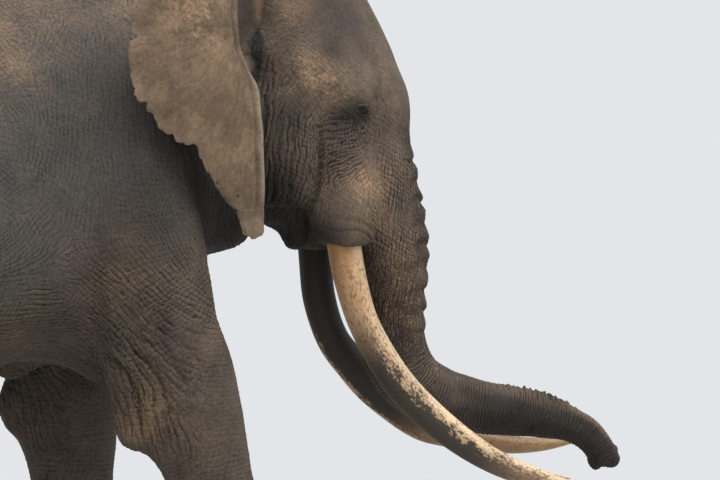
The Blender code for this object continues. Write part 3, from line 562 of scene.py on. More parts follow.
def rod(stations):
    """Triangles of an upright rod through centres with a radius each, closed at its ends."""
    turn = np.arange(ROD_SIDES) * math.tau / ROD_SIDES
    ring = np.stack([np.cos(turn), np.sin(turn), 0 * turn], axis=1)
    spots = [np.array(place) + ring * radius for *place, radius in stations]
    last = ROD_SIDES * len(stations)
    spots = np.vstack([*spots, stations[0][:3], stations[-1][:3]])
    outward = 1 if stations[-1][2] > stations[0][2] else -1
    faces = []
    top = last - ROD_SIDES
    for k in range(ROD_SIDES):
        after = (k + 1) % ROD_SIDES
        for i in range(0, top, ROD_SIDES):
            faces += [(i + k, i + after, i + after + ROD_SIDES), (i + k, i + after + ROD_SIDES, i + k + ROD_SIDES)]
        faces += [(last, after, k), (last + 1, top + k, top + after)]
    return spots, np.array(faces)[:, ::outward]


def ear_share(points):
    """How much each point belongs to an ear."""
    share = np.zeros(len(points))
    for name in SIDES:
        spots, corners = welded(f"ear_{name}")
        tree = BVHTree.FromPolygons(spots.tolist(), corners.tolist())
        low, high = spots.min(0) - EAR_NEAR[1], spots.max(0) + EAR_NEAR[1]
        inside = np.flatnonzero(((points > low) & (points < high)).all(axis=1))
        gaps = [tree.find_nearest(place)[3] for place in points[inside].tolist()]
        share[inside] = np.maximum(share[inside], 1 - ramp(np.array(gaps), *EAR_NEAR))
    return share


def face_zone(points):
    """Where the skin is finer: the face, the trunk, the lips and the pierced part of the right ear."""
    x, y, z = points.T
    face = (x > 0.62) & (z > 2.15) & (z < 3.05)
    trunk = (x > 0.86) & (z < 2.6)
    pierced = (x > 0.12) & (x < 0.36) & (z > 2.30) & (z < 2.65) & (y < -0.55)
    return face | trunk | pierced


def eye_zone(points):
    return np.any([np.linalg.norm(points - centre, axis=1) < EYE_ZONE for centre in EYES.values()], axis=0)


def as_right(points):
    """Places in side view, the left foreleg carried forward to where the right one stands."""
    x, y, z = points.T
    swing = STRIDE * np.sin(np.clip((SHOULDER_HEIGHT - z) / SHOULDER_HEIGHT, 0, 1) * math.pi / 2)
    share = ramp(y, -0.05, 0.05) * ramp(x, -1.3, -0.75) * ramp(x + swing, 0.70, 0.50)
    return np.stack([x + swing * share, z], axis=1)


def lie_of(points):
    """Lean of the wrinkles in side view in radians, and the depth of wrinkles and of folds."""
    turning = np.zeros(len(points), complex)
    depth, fold, total = (np.full(len(points), 1e-9) for _ in range(3))
    flat = as_right(points)
    for ahead, up, reach, lean, wrinkle, folds in LIE:
        gap = (flat[:, 0] - ahead) ** 2 + (flat[:, 1] - up) ** 2
        share = np.exp(-gap / reach**2) + 1e-4 / (gap / reach**2 + 1) ** 2
        turning += share * np.exp(2j * math.radians(lean))
        depth += share * wrinkle
        fold += share * folds
        total += share
    return np.angle(turning) / 2, depth / total, fold / total


def across_of(points, normals, ringed, axis):
    """Directions in the skin, square to the wrinkles; ringed is how far they circle the axis instead."""
    lean, depth, fold = lie_of(points)
    level = np.zeros(len(points))
    flat = np.stack([np.cos(lean), level, np.sin(lean)], axis=1)
    square = np.stack([-np.sin(lean), level, np.cos(lean)], axis=1)
    helper = np.where(np.abs(normals[:, 1:2]) > 0.6, [[1.0, 0, 0]], [[0, 1.0, 0]])
    first = unit(helper - dot(helper, normals)[:, None] * normals)
    second = np.cross(normals, first)

    def doubled(vectors):
        """Twice the angle of each vector in the skin, weighted by how much of it lies there."""
        return (dot(vectors, first) + 1j * dot(vectors, second)) ** 2

    turned = doubled(flat) - doubled(square)
    turned /= np.abs(turned) + 1e-9
    round_it = -doubled(axis)
    turned = turned * (1 - ringed) + ringed * round_it / (np.abs(round_it) + 1e-9)
    angle = np.angle(turned) / 2
    lie = first * np.cos(angle)[:, None] + second * np.sin(angle)[:, None]
    across = np.cross(normals, lie)
    heading = np.where(ringed[:, None] > 0.3, axis, [[0.906, 0, 0.423]])
    across *= np.where(dot(across, heading) < 0, -1, 1)[:, None]
    return across, np.cross(normals, across), depth, fold


def limbs(points, share):
    """Where wrinkles circle a limb: how far, its direction; and the trunk's share and length from its root."""
    x, y, z = points.T
    axis = np.zeros_like(points)
    length, gap, ahead = follow(points[:, [0, 2]], TRUNK_LINE)
    apart = np.hypot(gap, y)
    beside = ramp(np.abs(y), 0.215, 0.16) + ramp(z, 2.16, 2.05)
    trunk = ramp(length, 0.10, 0.55) * ramp(apart, 0.36, 0.28) * np.clip(beside, 0, 1) * ramp(x, 0.80, 0.92)
    axis[:, 0], axis[:, 2] = -ahead[:, 0], -ahead[:, 1]
    ringed = trunk * ramp(length, 1.15, 1.45)
    for name, line in LEG_LINES.items():
        side = SIDES[name.split("_")[1]]
        _, _, down = follow(points[:, [0, 2]], line)
        mine = (y * side > 0.06) & ((x > -1.0) == (line[0][0] > -1.0)) & (z < 1.7) & (x < 0.85)
        circled = ramp(z, 1.42, 1.15) * mine
        axis[mine, 0], axis[mine, 2] = -down[mine, 0], -down[mine, 1]
        ringed = np.maximum(ringed, circled)
    tail = (x < -2.75) & (np.abs(y) < 0.13) & (z < 2.7)
    ringed[tail] = ramp(x[tail], -2.80, -2.95)
    axis[tail] = (0, 0, 1)
    ears = share > 0.3
    fan = points[ears][:, [0, 2]] - EAR_ROOT
    axis[ears] = np.stack([-fan[:, 1], np.zeros(len(fan)), fan[:, 0]], axis=1)
    axis[ears] = unit(axis[ears])
    ringed = np.where(ears, 1.0, ringed)
    return ringed, axis, trunk, length


def stroke(points, line, width, closed=False):
    """1 along a curve in side view, falling away within the width, and fading at the curve's ends."""
    low, high = np.min(line, axis=0) - 3 * width, np.max(line, axis=0) + 3 * width
    near = np.flatnonzero(((points > low) & (points < high)).all(axis=1))
    made = np.zeros(len(points))
    path = curved(line, 6)
    length, gap, _ = follow(points[near], path)
    whole = np.linalg.norm(np.diff(path, axis=0), axis=1).sum()
    ends = 1.0 if closed else ramp(length, 0, whole * 0.25) * ramp(length, whole, whole * 0.75)
    made[near] = np.exp(-((gap / width) ** 2)) * ends
    return made


def body_forms(points, normals, share):
    """Push along the normals of the shoulder, the ribs, the spine and the creases, and the shade painted into the
    creases.
    """
    x, y, z = points.T
    flat = as_right(points)
    push = 0.005 * noise(points, 0.30, 1) + 0.0022 * noise(points, 0.11, 2)
    flank = ramp(np.abs(normals[:, 1]), 0.3, 0.7)
    ribs = np.cos((x + 0.25 * (z - 2.2)) * math.tau / RIB_STEP)
    push += 0.0035 * ribs * flank * bump(x, -1.15, 0.5) * bump(z, 2.35, 0.4)
    spine = bump(y, 0, 0.045) * ramp(z, 2.9, 3.1) * ramp(x, 0.1, -0.2)
    push += spine * (0.012 + 0.004 * np.cos(x * math.tau / SPINE_STEP))
    for line, width, height in SHOULDER:
        push += height * flank * stroke(flat, line, width)
    push *= 1 - share
    shade = np.zeros(len(points))
    outward = ramp(np.abs(normals[:, 1]), 0.1, 0.5) * ramp(y * normals[:, 1], -0.01, 0.02) * (1 - share)
    for line, width, depth in CREASES:
        mark = outward * stroke(flat, line, width)
        push -= depth * mark
        shade += CREASE_SHADE * depth * mark
    return push, shade


def ear_forms(points, normals, share):
    """Push of the ears' rolled front edge, the groove behind it and the recess ahead of it; shade painted in the groove
    and recess, a highlight on the edge.
    """
    _, y, z = points.T
    push, shade, edge_highlight = np.zeros((3, len(points)))
    for name, side in SIDES.items():
        start = np.array(EAR_STARTS[name])
        place, up = points[:, [0, 2]] - start, z - start[1]
        mine = y * side > 0.2
        edge = share * mine * ramp(up, 0.06, 0.18)
        rolled = edge * stroke(place, EAR_MARGIN, 0.011, True)
        groove = edge * stroke(place - (-0.024, 0), EAR_MARGIN, 0.009, True)
        beyond = place[:, 0] - np.interp(up, *np.transpose(EAR_MARGIN)[::-1, ::-1])
        wide = np.interp(up, *np.transpose(EAR_RECESS))
        sunk = ramp(beyond, 0.004, 0.020) * ramp(beyond, wide + 0.012, wide - 0.008) * ramp(up, 0.55, 0.62)
        sunk *= mine * ramp(y * normals[:, 1], -0.02, 0.02) * ramp(up, 1.25, 1.10)
        push += 0.006 * rolled - 0.005 * groove - 0.008 * sunk
        # Painted shade in the groove and the recess; a painted highlight along the rolled edge.
        shade += 0.5 * groove + 0.75 * sunk
        edge_highlight += rolled**2 * ramp(up, 0.80, 0.60)
    return push, shade, edge_highlight


def trunk_forms(points, normals, trunk, length):
    """Push of the trunk's shingles, knobs, nostrils and lips, and how much each point lies on its front."""
    x, y, _ = points.T
    line = np.array(TRUNK_LINE)
    heading = unit(np.gradient(line, axis=0))
    reached = np.concatenate([[0], np.cumsum(np.linalg.norm(np.diff(line, axis=0), axis=1))])
    ahead, up = (np.interp(length, reached, heading[:, k]) for k in (0, 1))
    front = np.clip(ahead * normals[:, 2] - up * normals[:, 0], 0, 1) * trunk
    # Its front overlaps like shingles, and its upper edge beyond the bend is knobbed.
    step = length / SHINGLE_STEP + 0.35 * noise(points * (1, 2.0, 1), 0.12, 71)
    shingle = np.sin(math.pi * (step % 1) ** 1.7)
    push = 0.015 * (shingle - 0.5) * front**0.7 * ramp(length, 0.38, 0.6) * ramp(length, 1.30, 1.15)
    knob = 0.5 + 0.5 * np.cos(length * math.tau / KNOB_STEP + 2.2 * noise(points, 0.035, 73))
    knob *= 0.8 + 0.5 * noise(points, 0.05, 74)
    push += 0.019 * knob * front**2 * ramp(length, 1.74, 1.95) * ramp(length, 2.22, 2.12)
    # Its tip has two nostrils, a long lip ahead of them and a short one behind.
    tip = trunk * ramp(length, 2.36, 2.41)
    for side in (1, -1):
        push -= 0.026 * tip * bump(y, side * 0.022, 0.012) * bump(x, 2.065, 0.018)
    push += 0.024 * tip * bump(x, 2.112, 0.030) * bump(y, 0, 0.040)
    push += 0.012 * tip * bump(x, 2.020, 0.022) * bump(y, 0, 0.045)
    return push, front


def normals_over(points, faces, border):
    """Normals at the points of quads and of the faces with more corners beside them."""
    total = normals_of(points, faces)
    fans = [(face[0], face[i], face[i + 1]) for face in border for i in range(1, len(face) - 1)]
    if fans:
        fans = np.array(fans)
        rim = np.unique(fans)
        total[rim] = unit(total[rim] + normals_of(points, fans)[rim])
    return total


def ear_outline(name):
    """Radius of an ear's edge about its middle in side view at each of EAR_TURNS, from its solid."""
    spots, _ = welded(f"ear_{name}")
    flat = spots[:, [0, 2]] - EAR_MIDDLES[name]
    angle = np.degrees(np.arctan2(flat[:, 1], flat[:, 0])) % 360
    radius = np.hypot(*flat.T)
    turns, radii = [], []
    for turn in range(0, 360, EAR_BIN):
        mine = (angle >= turn) & (angle < turn + EAR_BIN)
        if mine.any() and radius[mine].max() > 0.2:
            turns.append(turn + EAR_BIN / 2)
            radii.append(radius[mine].max())
    return np.interp(EAR_TURNS, turns, radii, period=360)


def ear_place(points, name):
    """Turn in degrees about an ear's middle, share of the way to its edge, the edge's radius, and the place itself."""
    flat = points[:, [0, 2]] - EAR_MIDDLES[name]
    angle = np.degrees(np.arctan2(flat[:, 1], flat[:, 0])) % 360
    outline = np.interp(angle, EAR_TURNS, EAR_OUTLINES[name])
    return angle, np.hypot(*flat.T) / outline, outline, flat


EAR_BIN = 6  # degrees of the edge that one radius is read from
EAR_TURNS = np.arange(0, 361, EAR_BIN // 2)
EAR_OUTLINES = {name: ear_outline(name) for name in SIDES}


def ear_rim(points, share):
    """How near each point is to an ear's free edge."""
    rim = np.zeros(len(points))
    for name, side in SIDES.items():
        behind = points[:, 0] < EAR_MIDDLES[name][0] + 0.30
        mine = np.flatnonzero((share > 0.3) & (points[:, 1] * side > 0.2) & behind)
        angle, near, _, _ = ear_place(points[mine], name)
        rim[mine] = ramp(near, 0.80, 0.99) * share[mine] * ramp(angle, 60, 100)
    return rim


def tear_ears(points, share):
    """Tears the ears' rear edges and ripples their sheets; returns how far each point lies in a hole."""
    holes = np.zeros(len(points))
    for name, side in SIDES.items():
        ahead, up = EAR_MIDDLES[name]
        mine = np.flatnonzero((share > 0.01) & (points[:, 1] * side > 0.2) & (points[:, 0] < ahead + 0.36))
        angle, near, outline, flat = ear_place(points[mine], name)
        near = np.maximum(near, 1e-3)
        edge = np.stack([flat[:, 0] / near, np.full(len(mine), side * 3.0), flat[:, 1] / near], axis=1)
        torn = ramp(angle, 186, 200) * ramp(angle, 296, 280)
        bite = 0.020 * np.maximum(noise(edge, 0.040, 5), -0.2) + 0.010 * np.maximum(noise(edge, 0.017, 6), 0)
        bite = bite * torn + 0.004 * noise(edge, 0.09, 7) * ramp(angle, 330, 290)
        for turn, width, depth in EAR_NOTCHES[name]:
            bite += depth * bump(angle, turn, width)
        pull = bite / outline * ramp(near, 0.66, 0.97) ** 2
        moved = flat * (1 - pull)[:, None]
        points[mine, 0] = moved[:, 0] + ahead
        points[mine, 2] = moved[:, 1] + up
        behind = ramp(angle, 150, 190) * ramp(angle, 300, 270)
        ripple = 0.014 * np.sin(np.radians(angle) * 9 + 1.3 * side) * ramp(near, 0.6, 1.0) * behind
        points[mine, 1] += side * ripple * share[mine]
        for turn, out, size in EAR_HOLES[name]:
            spot = np.radians(turn)
            reach = np.interp(turn, EAR_TURNS, EAR_OUTLINES[name]) * out
            gap = np.hypot(flat[:, 0] - reach * np.cos(spot), flat[:, 1] - reach * np.sin(spot))
            holes[mine] += np.exp(-((gap / size) ** 2))
    return holes


def round_tips(points, share):
    """Gives each ear's hanging tip the outline of EAR_TIP, slice by slice."""
    tip = np.array(EAR_TIP)
    for name, side in SIDES.items():
        start_x, start_z = EAR_STARTS[name]
        mine = (share > 0.3) & (points[:, 1] * side > 0.3) & (points[:, 2] < start_z + 0.10)
        mine = np.flatnonzero(mine & (points[:, 0] > start_x + 0.25))
        up = points[mine, 2] - start_z
        slices = np.clip(np.floor((up - TIP_FOOT) / TIP_SLICE).astype(int), 0, TIP_SLICES - 1)
        found = [points[mine[slices == i], 0] for i in range(TIP_SLICES)]
        spans = [(i, part.min(), part.max()) for i, part in enumerate(found) if len(part) > 3]
        if not spans:
            continue
        index, lows, highs = np.array(spans).T
        heights = TIP_FOOT + (index + 0.5) * TIP_SLICE
        low, high = np.interp(up, heights, lows), np.interp(up, heights, highs)
        middle, half = (np.interp(up, tip[:, 0], tip[:, k]) for k in (1, 2))
        place = (points[mine, 0] - (low + high) / 2) / np.maximum((high - low) / 2, 0.004)
        aim = start_x + middle + np.clip(place, -1.1, 1.1) * half
        points[mine, 0] += (aim - points[mine, 0]) * ramp(up, 0.120, 0.085)
        points[mine, 2] -= 0.010 * ramp(up, 0.06, 0.0)


def lids(points, waves):
    """Opens the skin over each eyeball and folds the lids round it; also how soft and how open it is there."""
    points = points.copy()
    soft, open_share = np.zeros(len(points)), np.zeros(len(points))
    for name, side in SIDES.items():
        centre = EYES[name]
        ahead, up = points[:, 0] - centre[0], points[:, 2] - centre[2]
        near = np.flatnonzero((np.hypot(ahead, up) < 0.20) & (points[:, 1] * side > 0.1))
        u, v = ahead[near], up[near]
        out = (points[near, 1] - centre[1]) * side
        long = (u * math.cos(EYE_TILT) + v * math.sin(EYE_TILT)) / EYE_OPEN[0]
        tall = (v * math.cos(EYE_TILT) - u * math.sin(EYE_TILT)) / EYE_OPEN[1]
        # The opening narrows to a corner behind and a smaller one ahead.
        tall *= 1 + 0.45 * np.abs(long) ** 2
        opening = np.hypot(long, tall)
        # Near the eyeball the hide rises over it, 4 mm thick, and blends in softly.
        ball = np.sqrt(np.maximum((EYE_RADIUS + 0.004) ** 2 - u * u - v * v, 0))
        cover = np.logaddexp(out / LID_BLEND, ball / LID_BLEND) * LID_BLEND
        out = out + (cover - out) * ramp(np.hypot(u, v), 0.050, 0.024)
        # A thick rim round the opening, more so above.
        upper = ramp(tall, -0.3, 0.3)
        out += (0.0016 + 0.0048 * upper) * bump(opening, 1.42, 0.36)
        # Folds ring the upper lid, finer ones fan out below, and a hollow lies behind.
        behind = np.minimum(u, 0)
        ring = np.hypot(behind / 2.5 + np.maximum(u, 0), v - 0.16 * behind - 0.002)
        wavy = ring * math.tau / LID_FOLD + 1.3 * waves[near]
        reach = ramp(ring, 0.017, 0.023) * ramp(ring, 0.064, 0.040)
        upper = ramp(v - 0.2 * behind, -0.012, 0.004)
        out += 0.0024 * np.abs(np.cos(wavy / 2)) * reach * (0.35 + 0.65 * upper)
        fan = np.arctan2(v + 0.004, u - 0.012) * 15 + 1.5 * waves[near]
        below = ramp(v, 0.0, -0.018) * ramp(np.hypot(u + 0.02, v + 0.03), 0.060, 0.030)
        out += 0.0016 * np.abs(np.cos(fan / 2)) * below
        out -= 0.007 * bump(u, -0.075, 0.040) * bump(v, -0.034, 0.020)
        inside = ramp(opening, 1.03, 0.90)
        out -= (out + 0.001) * inside
        points[near, 1] = centre[1] + side * out
        soft[near] = ramp(np.hypot(behind / 2.2 + np.maximum(u, 0), v + 0.012), 0.062, 0.022)
        open_share[near] = inside
    return points, soft, open_share


def zoned(flat, zones):
    """Sum of soft round patches in side view."""
    total = np.zeros(len(flat))
    for ahead, up, reach, amount in zones:
        total += amount * np.exp(-((flat[:, 0] - ahead) ** 2 + (flat[:, 1] - up) ** 2) / reach**2)
    return total


def tones(points, normals, share, shade, trunk, front):
    """Where ochre dust lies with painted light, where the hide is dark and shade is painted on it, and where it is warm
    brown rather than grey.
    """
    x, y, z = points.T
    flat = as_right(points)
    cloud = noise(points, 0.16, 31)
    small = noise(points, 0.055, 33)
    dust_and_light = zoned(flat, DUST_AND_LIGHT) * (1 + 0.5 * cloud + 0.35 * small)
    dust_and_light = np.clip(dust_and_light + 0.14 * ramp(normals[:, 2], 0.3, 0.9) * (1 - share), 0, 1)
    # Faces turned toward the middle low on the body, between the legs, lose most of their dust and take painted shade.
    inner = ramp(-y * normals[:, 1], 0.0, 0.15) * ramp(z, 2.0, 1.7) * (1 - trunk)
    dust_and_light = dust_and_light * (1 - 0.85 * inner)
    # Dark hide with painted shade from DARK, and painted shade on faces turned down.
    dark = zoned(flat, DARK) * (1 + 0.4 * cloud) + 0.15 * ramp(-normals[:, 2], 0.15, 0.9) + 0.25 * inner
    # Painted shade on the sides and underside of the trunk's outer part, which is also a little darker all round.
    dark += trunk * (0.80 * ramp(x, 1.25, 1.6) * ramp(-front, -0.85, -0.25) + 0.15 * ramp(x, 1.2, 1.4))
    # The ears take little of it; the shade painted in the creases and recesses comes on top.
    dark = np.clip(np.clip(dark, 0, 1) * (1 - 0.85 * share) + shade, 0, 1)
    warm = ramp(x, 0.35, 0.55) * (1 - 0.35 * ramp(x, 1.1, 1.4))
    warm = np.maximum(warm, 0.85 * ramp(flat[:, 0], -0.60, -0.15) * ramp(z, 2.50, 2.10))
    warm = np.clip(warm + 0.2 * cloud, 0, 1)
    return dust_and_light, dark, warm


def regions(points, normals, share, trunk):
    """A number for the part of the body each point lies on, for the unwrap."""
    x, y, z = points.T
    left = (y > 0).astype(int)
    region = np.where(x > 0.43, 1, 0)
    leg = (z < 1.5) & (x < 0.85) & (np.abs(y) > 0.06)
    region = np.where(leg, 2 + left + 2 * (x > -1.0), region)
    region = np.where(trunk > 0.5, 6, region)
    region = np.where((x < -2.8) & (np.abs(y) < 0.15) & (z < 2.7), 7, region)
    region = np.where(share > 0.5, 8 + left, region)
    inner = (normals[:, 1] * y < 0) & (region < 2)
    return region + 10 * inner


def corners_of(faces, border):
    """The corners of the quads and then of the other faces in a row, and how many each face has."""
    corners = np.concatenate([faces.ravel(), np.array([c for face in border for c in face], int)])
    return corners, np.array([4] * len(faces) + [len(face) for face in border])


def starts_of(sizes):
    return np.concatenate([[0], np.cumsum(sizes)[:-1]])


def shelved(sizes):
    """Places for boxes in rows, the tallest first, in a square that holds them, and its side."""
    order = sorted(sizes, key=lambda name: -sizes[name][1])
    side = math.sqrt(sum(float(np.prod(size)) for size in sizes.values())) * 1.02
    while True:
        spots, x, y, row = {}, 0.0, 0.0, 0.0
        for name in order:
            wide, high = sizes[name]
            if x + wide > side:
                x, y, row = 0.0, y + row, 0.0
            spots[name] = (x, y)
            x, row = x + wide, max(row, high)
        if y + row <= side:
            return spots, side
        side *= 1.02


def unwrapped(points, facing, region, faces, border):
    """UV of each face corner: every part of the body laid flat along the axis it faces most, packed in one square."""
    corners, sizes = corners_of(faces, border)
    owner = np.repeat(np.arange(len(sizes)), sizes)
    total = np.stack([np.bincount(owner, facing[corners, k], len(sizes)) for k in range(3)], axis=1)
    axis = np.abs(total).argmax(axis=1)
    sign = total[np.arange(len(sizes)), axis] > 0
    chart = (region[corners[starts_of(sizes)]] * 6 + axis * 2 + sign)[owner]
    places = np.empty((len(corners), 2))
    for k, flat in enumerate([[1, 2], [0, 2], [0, 1]]):
        mine = axis[owner] == k
        places[mine] = points[corners[mine]][:, flat]
    charts = {name: chart == name for name in np.unique(chart)}
    lows = {name: places[mine].min(0) for name, mine in charts.items()}
    spots, side = shelved({name: places[mine].max(0) - lows[name] + CHART_GAP for name, mine in charts.items()})
    for name, mine in charts.items():
        places[mine] = (places[mine] - lows[name] + spots[name] + CHART_GAP / 2) / side
    return places


def dressed(name, points, faces, border, attributes, places):
    """Mesh of quads and a few faces with more corners, with its attributes and the unwrap that baking needs."""
    corners, sizes = corners_of(faces, border)
    mesh = mesh_of(name, points, corners, starts_of(sizes))
    for key, values in attributes.items():
        layer = mesh.attributes.new(key, "FLOAT_VECTOR", "POINT")
        layer.data.foreach_set("vector", values.astype(np.float32).ravel())
    mesh.uv_layers.new(name="OFBake").data.foreach_set("uv", places.astype(np.float32).ravel())
    return mesh


def cut_fine(points, faces, share):
    """Finer quads on the face, the trunk and the ears' rims, and finer again round the eyes."""
    fine = face_zone(points[faces].mean(axis=1)) | (ear_rim(points, share)[faces].max(axis=1) > 0.05)
    carried, faces, border = split(np.column_stack([points, share]), faces, np.flatnonzero(fine))
    chosen = np.flatnonzero(eye_zone(carried[faces][:, :, :3].mean(axis=1)))
    carried, faces, more = split(carried, faces, chosen)
    return carried[:, :3].copy(), faces, border + more, carried[:, 3]


def hang(points):
    """Arches the belly's edge, drops it in a fold behind each elbow, and hangs the lip over each tusk's root."""
    x, y, z = points.T.copy()
    lower = ramp(z, 1.95, 1.68) * ramp(z, 1.40, 1.56)
    fold = ramp(np.abs(y), 0.05, 0.2) * bump(as_right(points)[:, 0], -0.165, 0.11)
    z += lower * (BELLY_ARCH * bump(x, -0.46, 0.20) - ELBOW_FOLD * fold)
    z -= LIP_HANG * bump(x, 0.86, 0.11) * bump(z, 2.19, 0.06) * ramp(np.abs(y), 0.08, 0.18)
    points[:, 2] = z


def wrinkle_depths(z, share, ringed, trunk, length, depth, fold):
    """Depth of wrinkles and folds once the legs, the ears and the trunk are set apart; and where the trunk is low."""
    on_leg = np.where(z < 1.62, ringed, 0) * (1 - trunk)
    leg_depth = 0.45 + 0.5 * bump(z, 0.33, 0.12) + 0.3 * bump(z, 1.15, 0.15)
    leg_fold = 0.7 * bump(z, 0.33, 0.10) + 0.3 * bump(z, 0.9, 0.15)
    low = trunk * ramp(length, 0.45, 0.9)
    low_depth = 0.75 + 0.45 * ramp(length, 1.25, 1.5)
    for where, wrinkle, folds in ((on_leg, leg_depth, leg_fold), (share, 0.30, 0.10), (low, low_depth, 0)):
        depth = depth * (1 - where) + where * wrinkle
        fold = fold * (1 - where) + where * folds
    return depth, fold, low


def wander(points, size, seed):
    """Three noises side by side, to shift places by."""
    return np.stack([noise(points, size, seed + k) for k in range(3)], axis=1)


def wrinkle_phases(points, across, lie, share, trunk, length, low):
    """Phases of the wrinkles, of finer ones that cross them, and of broad folds."""
    x, _, z = points.T
    wave = np.where((x > 0.5) & (z > 2.1), FACE_WAVE, BODY_WAVE)
    wave = wave - (0.0015 + 0.0055 * ramp(length, 1.3, 1.5)) * trunk
    wave = wave * (1 - share) + EAR_WAVE * share
    wave = wave * (1 + 0.18 * noise(points, 0.25, 45))
    drift = wander(points, 0.060, 46) * 0.0065
    drift += wander(points, 0.027, 56) * 0.0050 * (ramp(x, 0.60, 0.75) * ramp(z, 1.9, 2.1))[:, None]
    turned = across * math.cos(CROSSING) + lie * math.sin(CROSSING)
    long = np.where(trunk > 0.5, 1.0, 1.15) * wave * (1 - 0.42 * low)
    return (
        phasor(points + drift, across, wave, 0.10, 3),
        phasor(points + drift[:, ::-1], turned, long, 0.09, 9),
        phasor(points + 2.0 * drift, across, wave * 1.8, 0.16, 21),
    )


def make_skin():
    """The whole hide as one mesh: fused, hung, torn, wrinkled and opened at the eyes, its zones kept for the finish."""
    points, faces, border, share = cut_fine(*fused())
    hang(points)
    normals = normals_over(points, faces, border)
    rim = ear_rim(points, share)
    holes = tear_ears(points, share)
    round_tips(points, share)
    points -= normals * ((0.0045 * rim + 0.005 * holes) * share)[:, None]

    normals = normals_over(points, faces, border)
    ringed, axis, trunk, length = limbs(points, share)
    across, lie, depth, fold = across_of(points, normals, ringed, axis)
    body, creased = body_forms(points, normals, share)
    ears, recessed, edge_highlight = ear_forms(points, normals, share)
    trunk_push, front = trunk_forms(points, normals, trunk, length)
    push = body + ears + trunk_push

    x, _, z = points.T
    depth, fold, low = wrinkle_depths(z, share, ringed, trunk, length, depth, fold)
    depth *= 1 - 0.30 * ramp(z, 2.0, 2.3) * ramp(x, 0.45, 0.30)
    first, second, third = wrinkle_phases(points, across, lie, share, trunk, length, low)
    crossing = (0.80 + 0.10 * ramp(x, 0.40, 0.62)) * (1 - 0.75 * share)
    crossing = crossing * (1 - trunk) + trunk * (0.9 - 0.65 * ramp(length, 1.25, 1.55))
    deep1 = depth * np.clip(0.85 + 0.75 * noise(points, 0.11, 41), 0.15, 1.6)
    deep2 = depth * np.clip(0.85 - 0.75 * noise(points, 0.13, 42), 0.15, 1.6) * crossing
    uneven = 1 + 0.5 * noise(points, 0.07, 43)
    for height, phase in ((0.0038 * deep1, first), (0.0026 * deep2, second), (0.0080 * fold * uneven, third)):
        push += height * (ridge(phase) - RIDGE_LEVEL)

    moved = points + normals * (push * ramp(z, 0.004, 0.02))[:, None]
    moved, soft, hollow = lids(moved, noise(moved, 0.03, 51))
    moved[:, 2] = np.maximum(moved[:, 2], 0)
    dust_and_light, dark, warm = tones(moved, normals, share, creased + recessed, trunk, front)
    # Painted shade in the ears' holes and in the lids' opening.
    dark = np.clip(dark + 1.5 * holes + 0.8 * hollow, 0, 1)
    lumpy = trunk * ramp(length, 0.15, 0.50) * ramp(length, 1.50, 1.30)
    cracked = (1 - 0.7 * share) * (1 - 0.6 * lumpy) * (0.6 + 0.4 * ramp(x, 0.8, 0.5))
    attributes = {
        "hatch": np.column_stack([first, deep1]),
        "cross": np.column_stack([second, deep2]),
        "crease": np.column_stack([third, fold]),
        "tone": np.column_stack([dust_and_light, dark, share]),
        "detail": np.column_stack([rim, warm, soft]),
        "grain": np.column_stack([lumpy, cracked, edge_highlight]),
    }
    places = unwrapped(points, normals, regions(points, normals, share, trunk), faces, border)
    return dressed("skin", moved + (SHIFT, 0, 0), faces, border, attributes, places)


